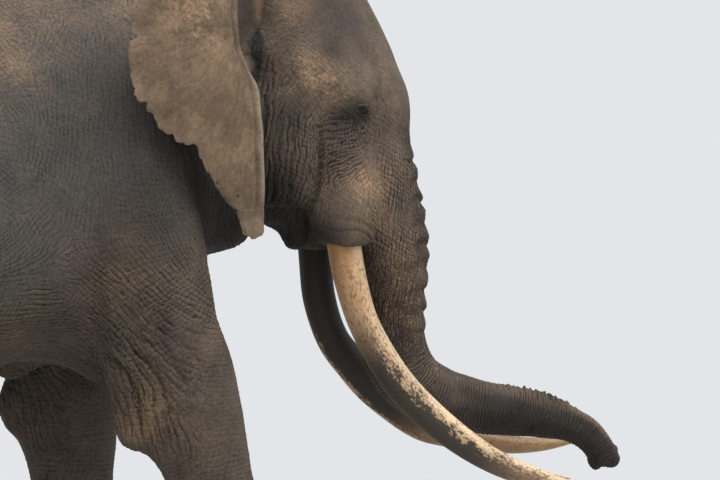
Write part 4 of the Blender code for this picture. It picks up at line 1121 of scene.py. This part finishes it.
# ---- finishes --------------------------------------------------------------------------------------------------------
class Finish:
    """Builds a material's nodes."""

    def __init__(self, name):
        self.made = bpy.data.materials.new(name)
        self.made.use_nodes = True
        self.tree = self.made.node_tree
        self.shader = self.tree.nodes["Principled BSDF"]

    def node(self, kind, inputs=None, **settings):
        node = self.tree.nodes.new(kind)
        for key, value in settings.items():
            setattr(node, key, value)
        for key, value in (inputs or {}).items():
            self.put(value, node.inputs[key])
        return node

    def put(self, value, socket):
        if isinstance(value, bpy.types.NodeSocket):
            self.tree.links.new(value, socket)
        else:
            socket.default_value = value

    def math(self, operation, *values):
        node = self.node("ShaderNodeMath", operation=operation)
        for value, socket in zip(values, node.inputs):
            self.put(value, socket)
        return node.outputs[0]

    def chain(self, operation, values):
        total, *others = values
        for value in others:
            total = self.math(operation, total, value)
        return total

    def add(self, *values):
        return self.chain("ADD", values)

    def times(self, *values):
        return self.chain("MULTIPLY", values)

    def weighted(self, *products):
        """Sum of products."""
        return self.add(*(self.times(*product) for product in products))

    def rest(self, value):
        return self.math("SUBTRACT", 1.0, value)

    def ramp(self, value, low, high, to_low=0.0, to_high=1.0):
        node = self.node("ShaderNodeMapRange", interpolation_type="SMOOTHSTEP")
        for key, given in zip(range(5), (value, low, high, to_low, to_high)):
            self.put(given, node.inputs[key])
        return node.outputs[0]

    def mix(self, share, first, second):
        node = self.node("ShaderNodeMix", data_type="RGBA")
        self.put(share, node.inputs["Factor"])
        for value, key in ((first, "A"), (second, "B")):
            socket = [s for s in node.inputs if s.name == key and s.type == "RGBA"][0]
            self.put(value if isinstance(value, bpy.types.NodeSocket) else (*value, 1), socket)
        return [s for s in node.outputs if s.type == "RGBA"][0]

    def layers(self, base, *coats):
        """Colours laid over the base one by one, each as far as its share."""
        for share, colour in coats:
            base = self.mix(share, base, colour)
        return base

    def vector(self, operation, first, second=None, scale=None):
        node = self.node("ShaderNodeVectorMath", {0: first}, operation=operation)
        for value, key in ((second, 1), (scale, "Scale")):
            if value is not None:
                self.put(value, node.inputs[key])
        return node.outputs[0]

    def noise(self, vector, scale, detail, roughness):
        """Noise of a size; a scale of three numbers stretches it."""
        if isinstance(scale, tuple):
            vector, scale = self.stretched(vector, scale), 1.0
        inputs = {"Vector": vector, "Scale": scale, "Detail": detail, "Roughness": roughness}
        return self.node("ShaderNodeTexNoise", inputs).outputs["Fac"]

    def wander(self, vector, scale, amount):
        """An even shift of a place, as far as half of amount each way."""
        node = self.node("ShaderNodeTexNoise", {"Vector": vector, "Scale": scale, "Detail": 2.0})
        return self.vector("SCALE", self.vector("SUBTRACT", node.outputs["Color"], (0.5, 0.5, 0.5)), scale=amount)

    def crack(self, vector, scale, width):
        """1 between cells of a size, 0 inside them."""
        inputs = {"Vector": self.stretched(vector, scale), "Scale": 1.0}
        cells = self.node("ShaderNodeTexVoronoi", inputs, feature="DISTANCE_TO_EDGE")
        return self.ramp(cells.outputs["Distance"], 0.0, width, 1.0, 0.0)

    def parts(self, name):
        """The three numbers of a vector attribute."""
        source = self.node("ShaderNodeAttribute", attribute_name=name)
        node = self.node("ShaderNodeSeparateXYZ", {0: source.outputs["Vector"]})
        return node.outputs[0], node.outputs[1], node.outputs[2]

    def place(self):
        return self.node("ShaderNodeTexCoord").outputs["Object"]

    def stretched(self, vector, scale):
        return self.node("ShaderNodeMapping", {"Vector": vector, "Scale": scale}).outputs[0]

    def finish(self, height=None, **inputs):
        """Sets the shader's inputs and the bump, whose height is in metres."""
        for key, value in inputs.items():
            self.put(value, self.shader.inputs[key.replace("_", " ")])
        if height is not None:
            node = self.node("ShaderNodeBump", {"Height": height, "Strength": 1.0, "Distance": 1.0})
            self.put(node.outputs[0], self.shader.inputs["Normal"])
        return self.made


def line_of(finish, cosine, sine, sharp):
    """1 in the crease between two wrinkles, 0 on their backs; sharp is how narrow the crease is."""
    turn = finish.math("ABSOLUTE", finish.math("ARCTAN2", sine, cosine))
    return finish.ramp(turn, math.pi * (1 - sharp), math.pi)


def hide():
    """Grey and brown hide with fine cracks, dark patches, ochre dust with painted light, and painted shade in creases,
    cracks and recesses; leather on the ears with a painted highlight along their rolled edges, dark skin at the eyes.
    """
    f = Finish("hide")
    place = f.place()
    c1, s1, deep1 = f.parts("hatch")
    c2, s2, deep2 = f.parts("cross")
    c3, s3, folds = f.parts("crease")
    dust_and_light, dark, ear = f.parts("tone")
    rim, warm, soft = f.parts("detail")
    lumpy, cracked, edge_highlight = f.parts("grain")
    line1 = f.times(line_of(f, c1, s1, 0.40), f.math("MINIMUM", deep1, 1.3))
    line2 = f.times(line_of(f, c2, s2, 0.36), f.math("MINIMUM", deep2, 1.2))
    line3 = f.times(line_of(f, c3, s3, 0.35), folds)
    broad = f.noise(place, 1.6, 4.0, 0.6)
    cloud = f.noise(place, 7.0, 5.0, 0.65)
    grain = f.noise(place, 60.0, 4.0, 0.7)
    fine = f.noise(place, 260.0, 2.0, 0.6)
    bent = f.vector("ADD", place, f.wander(place, 30.0, 0.012))
    net = f.crack(bent, (70.0, 70.0, 70.0), 0.14)
    fine_net = f.crack(bent, (150.0, 150.0, 150.0), 0.14)
    lumps = f.times(f.crack(bent, (105.0, 105.0, 42.0), 0.22), lumpy)
    grey = f.mix(f.ramp(broad, 0.38, 0.62), (0.077, 0.070, 0.063), (0.099, 0.088, 0.078))
    grey = f.mix(f.times(f.ramp(cloud, 0.45, 0.70), 0.5), grey, (0.122, 0.104, 0.088))
    brown = f.mix(f.ramp(cloud, 0.36, 0.64), (0.092, 0.069, 0.053), (0.138, 0.102, 0.075))
    leather = f.mix(f.ramp(cloud, 0.38, 0.64), (0.128, 0.085, 0.052), (0.215, 0.142, 0.088))
    powder_and_light = f.times(dust_and_light, f.ramp(f.weighted((cloud, 0.6), (grain, 0.4)), 0.30, 0.60))
    # Over the grey and brown lie ochre dust with painted light, the ears' leather, dark hide with painted shade, the
    # dark skin round the eyes, the ears' paler rims and a painted highlight on their rolled edges.
    base = f.layers(
        f.mix(warm, grey, brown),
        (f.times(powder_and_light, 0.85), (0.420, 0.265, 0.158)),
        (f.times(ear, 0.92, f.rest(f.times(powder_and_light, 0.7))), leather),
        (f.times(dark, 0.88), (0.026, 0.024, 0.022)),
        (f.times(soft, 0.55), (0.036, 0.030, 0.026)),
        (f.times(rim, ear, 0.25), (0.300, 0.240, 0.190)),
        (f.times(edge_highlight, 0.6), (0.270, 0.225, 0.185)),
    )
    speck = f.ramp(f.weighted((grain, 0.6), (fine, 0.4)), 0.30, 0.72, 0.72, 1.25)
    # Each mark with its share, how much painted shade it lays along the creases, cracks and lumps, and how high it
    # stands.
    marks = [
        ((line1,), 0.42, -0.0018), ((line2,), 0.30, -0.0012), ((line3,), 0.35, -0.0020),
        ((net, cracked), 0.22, -0.0008), ((fine_net, cracked), 0.10, -0.0003), ((lumps,), 0.42, -0.0040),
    ]
    lines = f.weighted(*((*mark, darker) for mark, darker, _ in marks))
    height = f.weighted(*((*mark, high) for mark, _, high in marks), (grain, 0.0020), (fine, 0.0006))
    # Random speckle times the painted shade of the marks.
    shade = f.times(speck, f.rest(f.math("MINIMUM", lines, 0.80)))
    colour = f.vector("SCALE", base, scale=shade)
    rough = f.ramp(cloud, 0.3, 0.7, 0.72, 0.88)
    return f.finish(height, Base_Color=colour, Roughness=rough, Specular_IOR_Level=0.18)


def ivory(name, root, body, stain_and_shade, under_from, dark_root, clean):
    """Old ivory, stained brown near the lip, painted paler on its lit side, and blackened on its shaded side with
    stain, flecks and painted shade.

    Stain and painted shade cover the tusk from under_from of the way round, reach nearer the lip by dark_root, and
    leave the last share clean bare.
    """
    f = Finish(name)
    run = f.node("ShaderNodeAttribute", attribute_name="run").outputs["Vector"]
    along, under, tip = f.parts("wear_and_shade")
    streak = f.noise(run, (5.0, 55.0, 55.0), 4.0, 0.6)
    fleck = f.noise(run, (70.0, 110.0, 110.0), 3.0, 0.6)
    patch = f.noise(run, (16.0, 34.0, 34.0), 4.0, 0.65)
    cloud = f.noise(run, (5.0, 12.0, 12.0), 4.0, 0.6)
    check = f.noise(run, (2.2, 170.0, 170.0), 2.0, 0.5)
    crack = f.ramp(f.math("ABSOLUTE", f.add(check, -0.5)), 0.0, 0.022, 1.0, 0.0)
    crack = f.times(crack, f.ramp(cloud, 0.42, 0.6))
    lip = f.times(f.ramp(along, 0.42, 0.02), f.ramp(f.add(cloud, f.times(under, 0.6)), 0.45, 0.85, 0.25, 1.0))
    edge = f.add(
        under,
        *(f.times(f.add(uneven, -0.5), 0.9) for uneven in (cloud, patch, fleck)),
        f.times(f.ramp(along, 0.5, 0.0), dark_root),
        f.times(f.ramp(along, 0.25, 0.45), 0.08),
    )
    worn = f.times(f.ramp(along, 0.19 - dark_root, 0.34 - dark_root), f.ramp(tip, clean, clean + 0.20))
    # Stain and painted shade on the tusk's shaded side.
    soot_and_shade = f.times(f.ramp(edge, under_from, under_from + 0.14), worn, 0.95)
    spots = f.ramp(f.add(fleck, f.times(patch, 0.5)), 0.77, 0.86)
    spots = f.times(spots, f.ramp(along, 0.02, 0.15), f.ramp(tip, 0.0, 0.15), 0.65)
    halo = f.ramp(edge, under_from - 0.26, under_from + 0.05)
    halo = f.times(halo, f.ramp(along, 0.15, 0.32), f.ramp(tip, 0.02, 0.2), 0.6)
    base = f.layers(
        f.mix(f.ramp(streak, 0.3, 0.7), body, tuple(0.82 * c for c in body)),
        # Painted light: the side turned from the soot is paler, as if lit.
        (f.times(f.ramp(under, 0.45, 0.15), f.ramp(along, 0.25, 0.5), 0.8), tuple(1.15 * c + 0.02 for c in body)),
        (lip, root),
        (halo, (0.225, 0.115, 0.050)),
        (spots, (0.120, 0.066, 0.034)),
        (soot_and_shade, stain_and_shade),
        (f.times(crack, 0.45), (0.10, 0.065, 0.038)),
    )
    height = f.weighted((crack, -0.0009), (streak, 0.0010), (fleck, 0.0008), (soot_and_shade, 0.0006))
    rough = f.ramp(f.add(soot_and_shade, f.times(streak, 0.5)), 0.0, 1.0, 0.40, 0.66)
    return f.finish(height, Base_Color=base, Roughness=rough, Specular_IOR_Level=0.40)


def eye_finish():
    """Wet eye: brown iris, wide pupil, dark ring, dull brown white, by the angle from the axis that gaze holds."""
    f = Finish("eye_wet")
    turn, spoke, _ = f.parts("gaze")
    threads = f.noise(f.place(), (400.0, 400.0, 400.0), 3.0, 0.6)
    rays = f.math("SINE", f.weighted((spoke, 46.0), (threads, 6.0)))
    colour = f.layers(
        f.mix(f.ramp(rays, -1.0, 1.0), (0.010, 0.006, 0.004), (0.026, 0.014, 0.007)),
        (f.ramp(turn, 0.40, 0.54), (0.010, 0.006, 0.004)),
        (f.ramp(turn, 0.52, 0.60), (0.034, 0.024, 0.019)),
        (f.ramp(turn, 0.24, 0.19), (0.002, 0.002, 0.002)),
    )
    height = f.times(threads, f.ramp(turn, 0.55, 0.8), 0.0004)
    return f.finish(height, Base_Color=colour, Roughness=0.12, Specular_IOR_Level=0.15, Coat_Weight=0.3,
                    Coat_Roughness=0.02, Coat_IOR=1.38)


def horn():
    """Nails: dull grey-brown horn with fine upright lines, dusty, darker at the rim."""
    f = Finish("nail_horn")
    place = f.place()
    lines = f.noise(place, (150.0, 150.0, 9.0), 4.0, 0.6)
    cloud = f.noise(place, 22.0, 4.0, 0.6)
    up, _, edge = f.parts("nail")
    base = f.layers(
        f.mix(f.ramp(lines, 0.3, 0.7), (0.150, 0.118, 0.090), (0.270, 0.218, 0.165)),
        (f.times(f.ramp(cloud, 0.42, 0.62), 0.6), (0.300, 0.215, 0.140)),
        (f.times(f.ramp(up, 0.35, 0.0), 0.5), (0.120, 0.085, 0.058)),
        (f.times(edge, 0.5), (0.085, 0.066, 0.052)),
    )
    height = f.weighted((lines, 0.0016), (cloud, 0.0012))
    return f.finish(height, Base_Color=base, Roughness=0.62, Specular_IOR_Level=0.35)


def bristle():
    """Coarse black-brown hair, a little paler towards its ends."""
    f = Finish("bristle")
    along, own, _ = f.parts("strand")
    base = f.mix(own, (0.010, 0.008, 0.007), (0.028, 0.021, 0.015))
    base = f.mix(f.times(f.ramp(along, 0.5, 1.0), 0.5), base, (0.090, 0.062, 0.040))
    cuticle = f.noise(f.place(), (900.0, 900.0, 900.0), 2.0, 0.5)
    return f.finish(f.times(cuticle, 0.0002), Base_Color=base, Roughness=0.5, Specular_IOR_Level=0.2)


# ---- tusks, eyes, nails and hair -------------------------------------------------------------------------------------
def frames_along(line):
    """Directions, and two square to each, turning as little as they can along a line."""
    ahead = unit(np.gradient(line, axis=0))
    side = np.empty_like(ahead)
    start = np.cross(ahead[0], (0, 1.0, 0))
    side[0] = start / np.linalg.norm(start)
    for i in range(1, len(line)):
        turned = side[i - 1] - ahead[i] * (side[i - 1] @ ahead[i])
        side[i] = turned / np.linalg.norm(turned)
    return ahead, side, np.cross(ahead, side)


def ring_faces(rings, sides):
    """Quads between rings of points."""
    first = np.arange((rings - 1) * sides).reshape(-1, sides)
    after = np.roll(first, -1, axis=1)
    return np.stack([first, after, after + sides, first + sides], axis=2).reshape(-1, 4)


def tube_faces(points, sides, centre):
    """Quads between rings of points and a cap at each end, all facing away from a centre inside the first rings."""
    faces = ring_faces(len(points) // sides, sides)
    caps = [list(range(sides))[::-1], list(range(len(points) - sides, len(points)))]
    if np.cross(*(points[faces[0, [1, 2]]] - points[0])) @ (points[0] - centre) < 0:
        faces, caps = faces[:, ::-1], [cap[::-1] for cap in caps]
    return faces, caps


def ride_as(made, slot, *nodes):
    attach(made, "root")
    if nodes:
        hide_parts(*nodes)
    return made


def make_tusk(name, finish):
    """One tusk: fluted and worn, its tip a dome, with its ivory's own places, its wear and its stained and shaded side
    carried to the finish.
    """
    line = curved(TUSKS[name], TUSK_STEPS)
    centres, radius = line[:, :3], line[:, 3]
    # The tip is a worn dome.
    last, tip = centres[-1] - centres[-2], radius[-1]
    turn = np.linspace(0, math.pi / 2, 9)[1:]
    centres = np.vstack([centres, centres[-1] + np.outer(np.sin(turn) * tip * 1.1, last / np.linalg.norm(last))])
    radius = np.concatenate([radius, tip * np.maximum(np.cos(turn), 0.03)])
    _, deep, wide = frames_along(centres)
    along = np.concatenate([[0], np.cumsum(np.linalg.norm(np.diff(centres, axis=0), axis=1))])
    share = along / along[-1]
    spin = np.arange(TUSK_SIDES) * math.tau / TUSK_SIDES
    outward = deep[:, None] * np.cos(spin)[None, :, None] + wide[:, None] * np.sin(spin)[None, :, None]
    # The ivory's own place: how far along, and how far out two ways; the two tusks' grains differ.
    run = np.broadcast_arrays(along[:, None], radius[:, None] * np.cos(spin), radius[:, None] * np.sin(spin))
    run = np.stack(run, axis=2).reshape(-1, 3) + (0, 0, 3.0 * SIDES[name])
    worn = 1 + 0.014 * noise(run * (0.5, 1, 1), 0.09, 81) + 0.006 * noise(run * (0.12, 1, 1), 0.012, 82)
    flutes = 0.010 * np.cos(3 * spin[None] + 5 * share[:, None]) * ramp(share, 0.1, 0.5)[:, None]
    facet = 0.10 * np.clip(np.cos(spin[None] - 0.8) - 0.55, 0, 1) * ramp(share, 0.80, 0.97)[:, None]
    worn = worn.reshape(len(along), TUSK_SIDES) + flutes - facet
    points = (centres[:, None] + outward * (radius[:, None] * worn)[:, :, None]).reshape(-1, 3)
    faces, caps = tube_faces(points, TUSK_SIDES, centres[0])
    under = 0.5 + 0.5 * outward.reshape(-1, 3) @ np.array(SOOT_AND_SHADE_SIDE[name])
    reached = np.repeat(share, TUSK_SIDES)
    rows, columns = faces // TUSK_SIDES, faces % TUSK_SIDES
    wraps = columns.max(axis=1) - columns.min(axis=1) > 1
    columns = np.where(wraps[:, None] & (columns == 0), TUSK_SIDES, columns)
    places = np.stack([0.02 + 0.20 * columns / TUSK_SIDES, 0.02 + 0.94 * share[rows]], axis=2).reshape(-1, 2)
    ends = [[(0.5 + 0.1 * math.cos(a), 0.2 + 0.3 * k + 0.1 * math.sin(a)) for a in spin] for k in (0, 1)]
    attributes = {"run": run, "wear_and_shade": np.column_stack([reached, under, 1 - reached])}
    piece = f"tusk_{name}_ivory"
    mesh = dressed(piece, points + (SHIFT, 0, 0), faces, caps, attributes, np.vstack([places, *ends]))
    ride_as(object_of(piece, mesh, finish), "ivory", f"tusk_{name}")


def make_eyeball(name, finish):
    """One eyeball, looking out and a little ahead and down, its angles from that axis carried to the finish."""
    gaze = unit(np.array([[0.20, SIDES[name], -0.10]]))[0]
    first = unit(np.cross(gaze, [[0, 0, 1.0]]))[0]
    second = np.cross(first, gaze)
    turn = np.linspace(0.02, math.pi - 0.02, EYE_RINGS)
    spin = np.arange(EYE_SIDES) * math.tau / EYE_SIDES
    # The cornea bulges.
    radius = EYE_RADIUS * (1 + 0.13 * np.exp(-((turn / 0.50) ** 4)))
    flat = first[None] * np.cos(spin)[:, None] + second[None] * np.sin(spin)[:, None]
    points = radius[:, None, None] * (np.cos(turn)[:, None, None] * gaze + np.sin(turn)[:, None, None] * flat[None])
    centre = EYES[name] + (SHIFT, 0, 0)
    points = points.reshape(-1, 3) + centre
    faces, caps = tube_faces(points, EYE_SIDES, centre)
    turns, spins = np.repeat(turn, EYE_SIDES), np.tile(spin, EYE_RINGS)
    gazes = np.column_stack([turns, np.sin(spins * 0.5) * 3, np.zeros(len(points))])
    reach = np.tan(np.minimum(turns, 3.0) / 4) / 2.2
    spots = np.column_stack([0.5 + reach * np.cos(spins), 0.5 + reach * np.sin(spins)])
    mesh = dressed(f"eyeball_{name}", points, faces, caps, {"gaze": gazes}, spots[corners_of(faces, caps)[0]])
    ride_as(object_of(f"eyeball_{name}", mesh, finish), "eye", f"eye_{name}")


def nail(tree, middle, reach, turn):
    """One nail as rows of (place on the skin, heading, how far out, u, v, bulge), u across it and v up it."""
    size = 1.0 - 0.14 * abs(turn) / 60
    rows = []
    for v, u in product(np.linspace(0, 1, NAIL_ROWS), np.linspace(-1, 1, NAIL_COLUMNS)):
        wide = NAIL_WIDTH * size * u * (1 - 0.10 * v**2) / 2
        angle = math.radians(turn) + wide / reach
        heading = np.array([math.cos(angle), math.sin(angle), 0])
        start = np.array([*middle, 0.006 + NAIL_HEIGHT * size * v]) + heading * 0.6
        hit = tree.ray_cast(Vector(start), -Vector(heading))[0]
        place = np.array(hit) if hit else start - heading * 0.4
        shape = abs(u) ** 2.6 + max(0.0, v * 1.04) ** 3.2
        bulge = math.sqrt(max(0.0, 1 - shape))
        rows.append((place, heading, NAIL_THICK * bulge * (1.0 - 0.25 * v) - NAIL_ROOT, u, v, bulge))
    return rows


def nail_faces():
    """Quads of a nail's front, its back and the rim between them; the back's points follow the front's."""
    total = NAIL_ROWS * NAIL_COLUMNS
    grid = np.arange(total).reshape(NAIL_ROWS, NAIL_COLUMNS)
    front = np.stack([grid[:-1, :-1], grid[:-1, 1:], grid[1:, 1:], grid[1:, :-1]], axis=2).reshape(-1, 4)
    rim = np.concatenate([grid[0, :-1], grid[:-1, -1], grid[-1, :0:-1], grid[:0:-1, 0]])
    after = np.roll(rim, -1)
    return np.vstack([front, front[:, ::-1] + total, np.stack([after, rim, rim + total, after + total], axis=1)])


def make_nails(tree, leg, finish):
    """The nails of one foot: shields that grow out of the skin round its front."""
    low, high = (np.array(corner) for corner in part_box(f"{leg}_foot"))
    middle = ((low + high) / 2)[:2] - (0.01, 0)
    base = nail_faces()
    points, faces, marks, places = [], [], [], []
    for order, turn in enumerate(NAIL_TURNS[leg.split("_")[0]]):
        rows = nail(tree, middle, 0.5 * (high[0] - low[0]), turn)
        faces.append(base + len(points))
        points += [place + heading * out for place, heading, out, *_ in rows]
        points += [place - heading * 0.012 for place, heading, *_ in rows]
        marks += [(v, u, 1 - min(1.0, bulge * 2.2)) for *_, u, v, bulge in rows] * 2
        for lift in (0.02, 0.52):
            places += [(0.02 + 0.19 * order + 0.085 * (u + 1), lift + 0.45 * v) for *_, u, v, _ in rows]
    faces = np.vstack(faces)
    spots = np.array(places)[faces.ravel()]
    name = f"nails_{leg}"
    mesh = dressed(name, np.array(points), faces, [], {"nail": np.array(marks)}, spots)
    ride_as(object_of(name, mesh, finish), "hide")


def strands(name, roots, headings, lengths, thick, sag, patches, finish, *, curl, seed, steps=6):
    """Tapering hairs as one closed mesh; each strand's patch lies at its root's place on the skin's unwrap."""
    chance = np.random.default_rng(seed)
    count = len(roots)
    share = np.linspace(0, 1, steps)
    headings = unit(headings)
    helper = np.where(np.abs(headings[:, 2:]) > 0.9, [[1.0, 0, 0]], [[0, 0, 1.0]])
    first = unit(np.cross(headings, helper))
    second = np.cross(headings, first)
    bend = chance.normal(size=(count, 2)) * curl * lengths[:, None]
    line = roots[:, None] + headings[:, None] * (lengths[:, None] * share)[:, :, None]
    line[:, :, 2] -= sag * lengths[:, None] * share**2
    line += first[:, None] * (bend[:, :1] * share**2)[:, :, None]
    line += second[:, None] * (bend[:, 1:] * share**1.5)[:, :, None]
    radius = thick * (1 - 0.9 * share**1.6)
    spin = np.arange(HAIR_SIDES) * math.tau / HAIR_SIDES
    ring = first[:, None] * np.cos(spin)[None, :, None] + second[:, None] * np.sin(spin)[None, :, None]
    points = (line[:, :, None] + ring[:, None] * radius[None, :, None, None]).reshape(-1, 3)
    each = steps * HAIR_SIDES
    caps = [np.arange(HAIR_SIDES), np.arange(each - HAIR_SIDES, each)[::-1]]
    firsts = np.arange(count)[:, None] * each
    sleeves = (firsts[:, None] + ring_faces(steps, HAIR_SIDES)[:, ::-1]).reshape(-1, 4)
    faces = np.vstack([sleeves, *[firsts + cap for cap in caps]])
    own = chance.random(count)
    marks = np.stack(np.broadcast_arrays(share[None, :, None], own[:, None, None], 0.0 * spin), axis=3).reshape(-1, 3)
    patch = np.broadcast_arrays((np.arange(HAIR_SIDES) / HAIR_SIDES)[None], share[:, None])
    spots = (patches[:, None, None] + HAIR_PATCH * np.stack(patch, axis=2)[None]).reshape(-1, 2)
    mesh = dressed(name, points, faces, [], {"strand": marks}, spots[faces.ravel()])
    return object_of(name, mesh, finish)


def rooted(skin, tree, starts, headings):
    """Where rays from starts meet the skin: places, normals, and the places on its unwrap."""
    mesh = skin.data
    spots = mesh.uv_layers["OFBake"].uv
    places, normals, patches = [], [], []
    for start, heading in zip(starts, headings):
        hit, normal, index, _ = tree.ray_cast(Vector(start), Vector(heading))
        if hit is None:
            continue
        places.append(hit)
        normals.append(normal)
        patches.append(spots[mesh.polygons[index].loop_start].vector[:])
    return np.array(places), np.array(normals), np.array(patches)


def make_tuft(skin, tree, finish, chance):
    """Two combs of wiry hair, before and behind the end of the tail."""
    count = 420
    share = chance.random(count) ** 0.8
    height = 1.60 - 0.42 * share
    face = np.where(chance.random(count) < 0.5, 0, math.pi) + chance.normal(0, 0.55, count)
    out = np.stack([np.cos(face), np.sin(face), np.zeros(count)], axis=1)
    centre = np.stack([np.interp(height, [1.2, 1.6], [-3.004, -3.027]) + SHIFT, np.zeros(count), height], axis=1)
    places, normals, patches = rooted(skin, tree, centre + 0.3 * out, -out)
    heading = normals * 0.55 + (0, 0, -1.0) + chance.normal(0, 0.10, (len(places), 3))
    lengths = chance.uniform(0.16, 0.30, len(places)) * np.interp(places[:, 2], [1.2, 1.5], [1.0, 0.75])
    lengths = np.minimum(lengths, (places[:, 2] - TUFT_END) * 0.95)
    roots = places - normals * 0.004
    tuft = strands("tail_hair", roots, heading, lengths, 0.0016, 0.35, patches, finish, steps=8, curl=0.10, seed=2)
    ride_as(tuft, "hair", "tail_tuft")


def make_lashes(skin, tree, finish, chance, name):
    """Lashes along the upper lid of one eye, leaning back behind and ahead in front."""
    side = SIDES[name]
    centre = EYES[name] + (SHIFT, 0, 0)
    u = np.linspace(-0.022, 0.015, LASHES)
    v = 0.0165 * np.sqrt(np.maximum(1 - (u / 0.024) ** 2, 0.05)) + 0.002
    ahead = u * math.cos(EYE_TILT) - v * math.sin(EYE_TILT)
    up = u * math.sin(EYE_TILT) + v * math.cos(EYE_TILT)
    starts = np.stack([centre[0] + ahead, np.full(LASHES, centre[1] + side * 0.3), centre[2] + up], axis=1)
    places, normals, patches = rooted(skin, tree, starts, np.tile([0, -side * 1.0, 0], (LASHES, 1)))
    level = np.full(len(places), 0.75)
    heading = np.column_stack([-0.35 + 0.5 * (places[:, 0] - centre[0]) / 0.02, side * level, -level])
    heading += chance.normal(0, 0.10, (len(places), 3))
    lengths = chance.uniform(0.026, 0.045, len(places))
    roots = places - normals * 0.002
    lash = strands(f"lashes_{name}", roots, heading, lengths, 0.00075, 0.15, patches, finish, curl=0.10, seed=7)
    ride_as(lash, "hair")


def make_bristles(skin, tree, finish, chance, name, count, low, high, heading, length):
    """Sparse stiff hair where rays from a box meet the skin."""
    count = count
    starts = chance.uniform(low, high, (count, 3)) + (SHIFT, 0, 0)
    rays = np.tile(heading, (count, 1)) + chance.normal(0, 0.25, (count, 3))
    places, normals, patches = rooted(skin, tree, starts, rays)
    lean = normals + 0.5 * np.array(heading) + (-0.25, 0, -0.15) + chance.normal(0, 0.25, (len(places), 3))
    lengths = chance.uniform(*length, len(places))
    roots = places - normals * 0.003
    sparse = strands(name, roots, lean, lengths, 0.0007, 0.2, patches, finish, steps=5, curl=0.15, seed=9)
    ride_as(sparse, "hair")


def make_hairs(skin, tree, finish):
    """The tail's tuft, the lashes and the bristles, all rooted in the skin."""
    chance = np.random.default_rng(5)
    make_tuft(skin, tree, finish, chance)
    for name in SIDES:
        make_lashes(skin, tree, finish, chance, name)
    for row in BRISTLES:
        make_bristles(skin, tree, finish, chance, *row)


# ---- the pieces ------------------------------------------------------------------------------------------------------
skin = ride_as(object_of("skin", make_skin(), hide()), "hide", *FLESH)
surface = BVHTree.FromObject(skin, bpy.context.evaluated_depsgraph_get())
for name, look in IVORY.items():
    make_tusk(name, ivory(f"ivory_{name}", **look))
for name in SIDES:
    make_eyeball(name, eye_finish())
for leg in LEG_LINES:
    make_nails(surface, leg, horn())
make_hairs(skin, surface, bristle())


# ---- camera, light and floor -----------------------------------------------------------------------------------------
VIEW_TARGET = Vector((0.993 + SHIFT, 0, 2.19))
VIEW_TURN = math.radians(-14)  # from square to the side
VIEW_DISTANCE, VIEW_HEIGHT = 22, 1.70
LENS, SENSOR = 259.6, 36  # in millimetres
LAMP_PLACE, LAMP_TARGET = (4.0, -4.0, 11.0), (0, 0, 1.5)
LAMP_SIZE, LAMP_POWER = 8.0, 1100
FLOOR_HALF = 45.0


def aimed(name, data, place, target):
    """Puts a lamp or a camera at a place, turned to a target."""
    made = bpy.data.objects.new(name, data)
    made.location = place
    made.rotation_euler = (Vector(target) - Vector(place)).to_track_quat("-Z", "Y").to_euler()
    bpy.context.scene.collection.objects.link(made)
    return made


def set_camera():
    """A long lens from the right, level with the belly and a little behind the side."""
    lens = bpy.data.cameras.new("camera")
    lens.sensor_width = SENSOR
    lens.lens = LENS
    lens.clip_end = 500
    turned = Vector((math.sin(VIEW_TURN), -math.cos(VIEW_TURN), 0))
    place = VIEW_TARGET + turned * VIEW_DISTANCE
    place.z = VIEW_HEIGHT
    bpy.context.scene.camera = aimed("camera", lens, place, VIEW_TARGET)


def set_light():
    """A bright even sky with one broad soft lamp."""
    bpy.context.scene.view_settings.view_transform = "Standard"
    world = bpy.data.worlds.new("sky")
    bpy.context.scene.world = world
    world.use_nodes = True
    sky = world.node_tree.nodes["Background"]
    sky.inputs["Color"].default_value = (0.77, 0.79, 0.81, 1)
    sky.inputs["Strength"].default_value = 1.0
    lamp = bpy.data.lights.new("overcast", "AREA")
    lamp.size = LAMP_SIZE
    lamp.energy = LAMP_POWER
    aimed("overcast", lamp, LAMP_PLACE, LAMP_TARGET)


def set_floor():
    made = Finish("floor").finish(Base_Color=(0.60, 0.60, 0.58, 1), Roughness=0.9)
    corners = [(x * FLOOR_HALF, y * FLOOR_HALF, 0) for x, y in ((-1, -1), (1, -1), (1, 1), (-1, 1))]
    floor = object_of("floor", mesh_of("floor", corners, [[0, 1, 2, 3]], smooth=False), made)
    floor.location.z = -0.001


set_camera()
set_light()
set_floor()
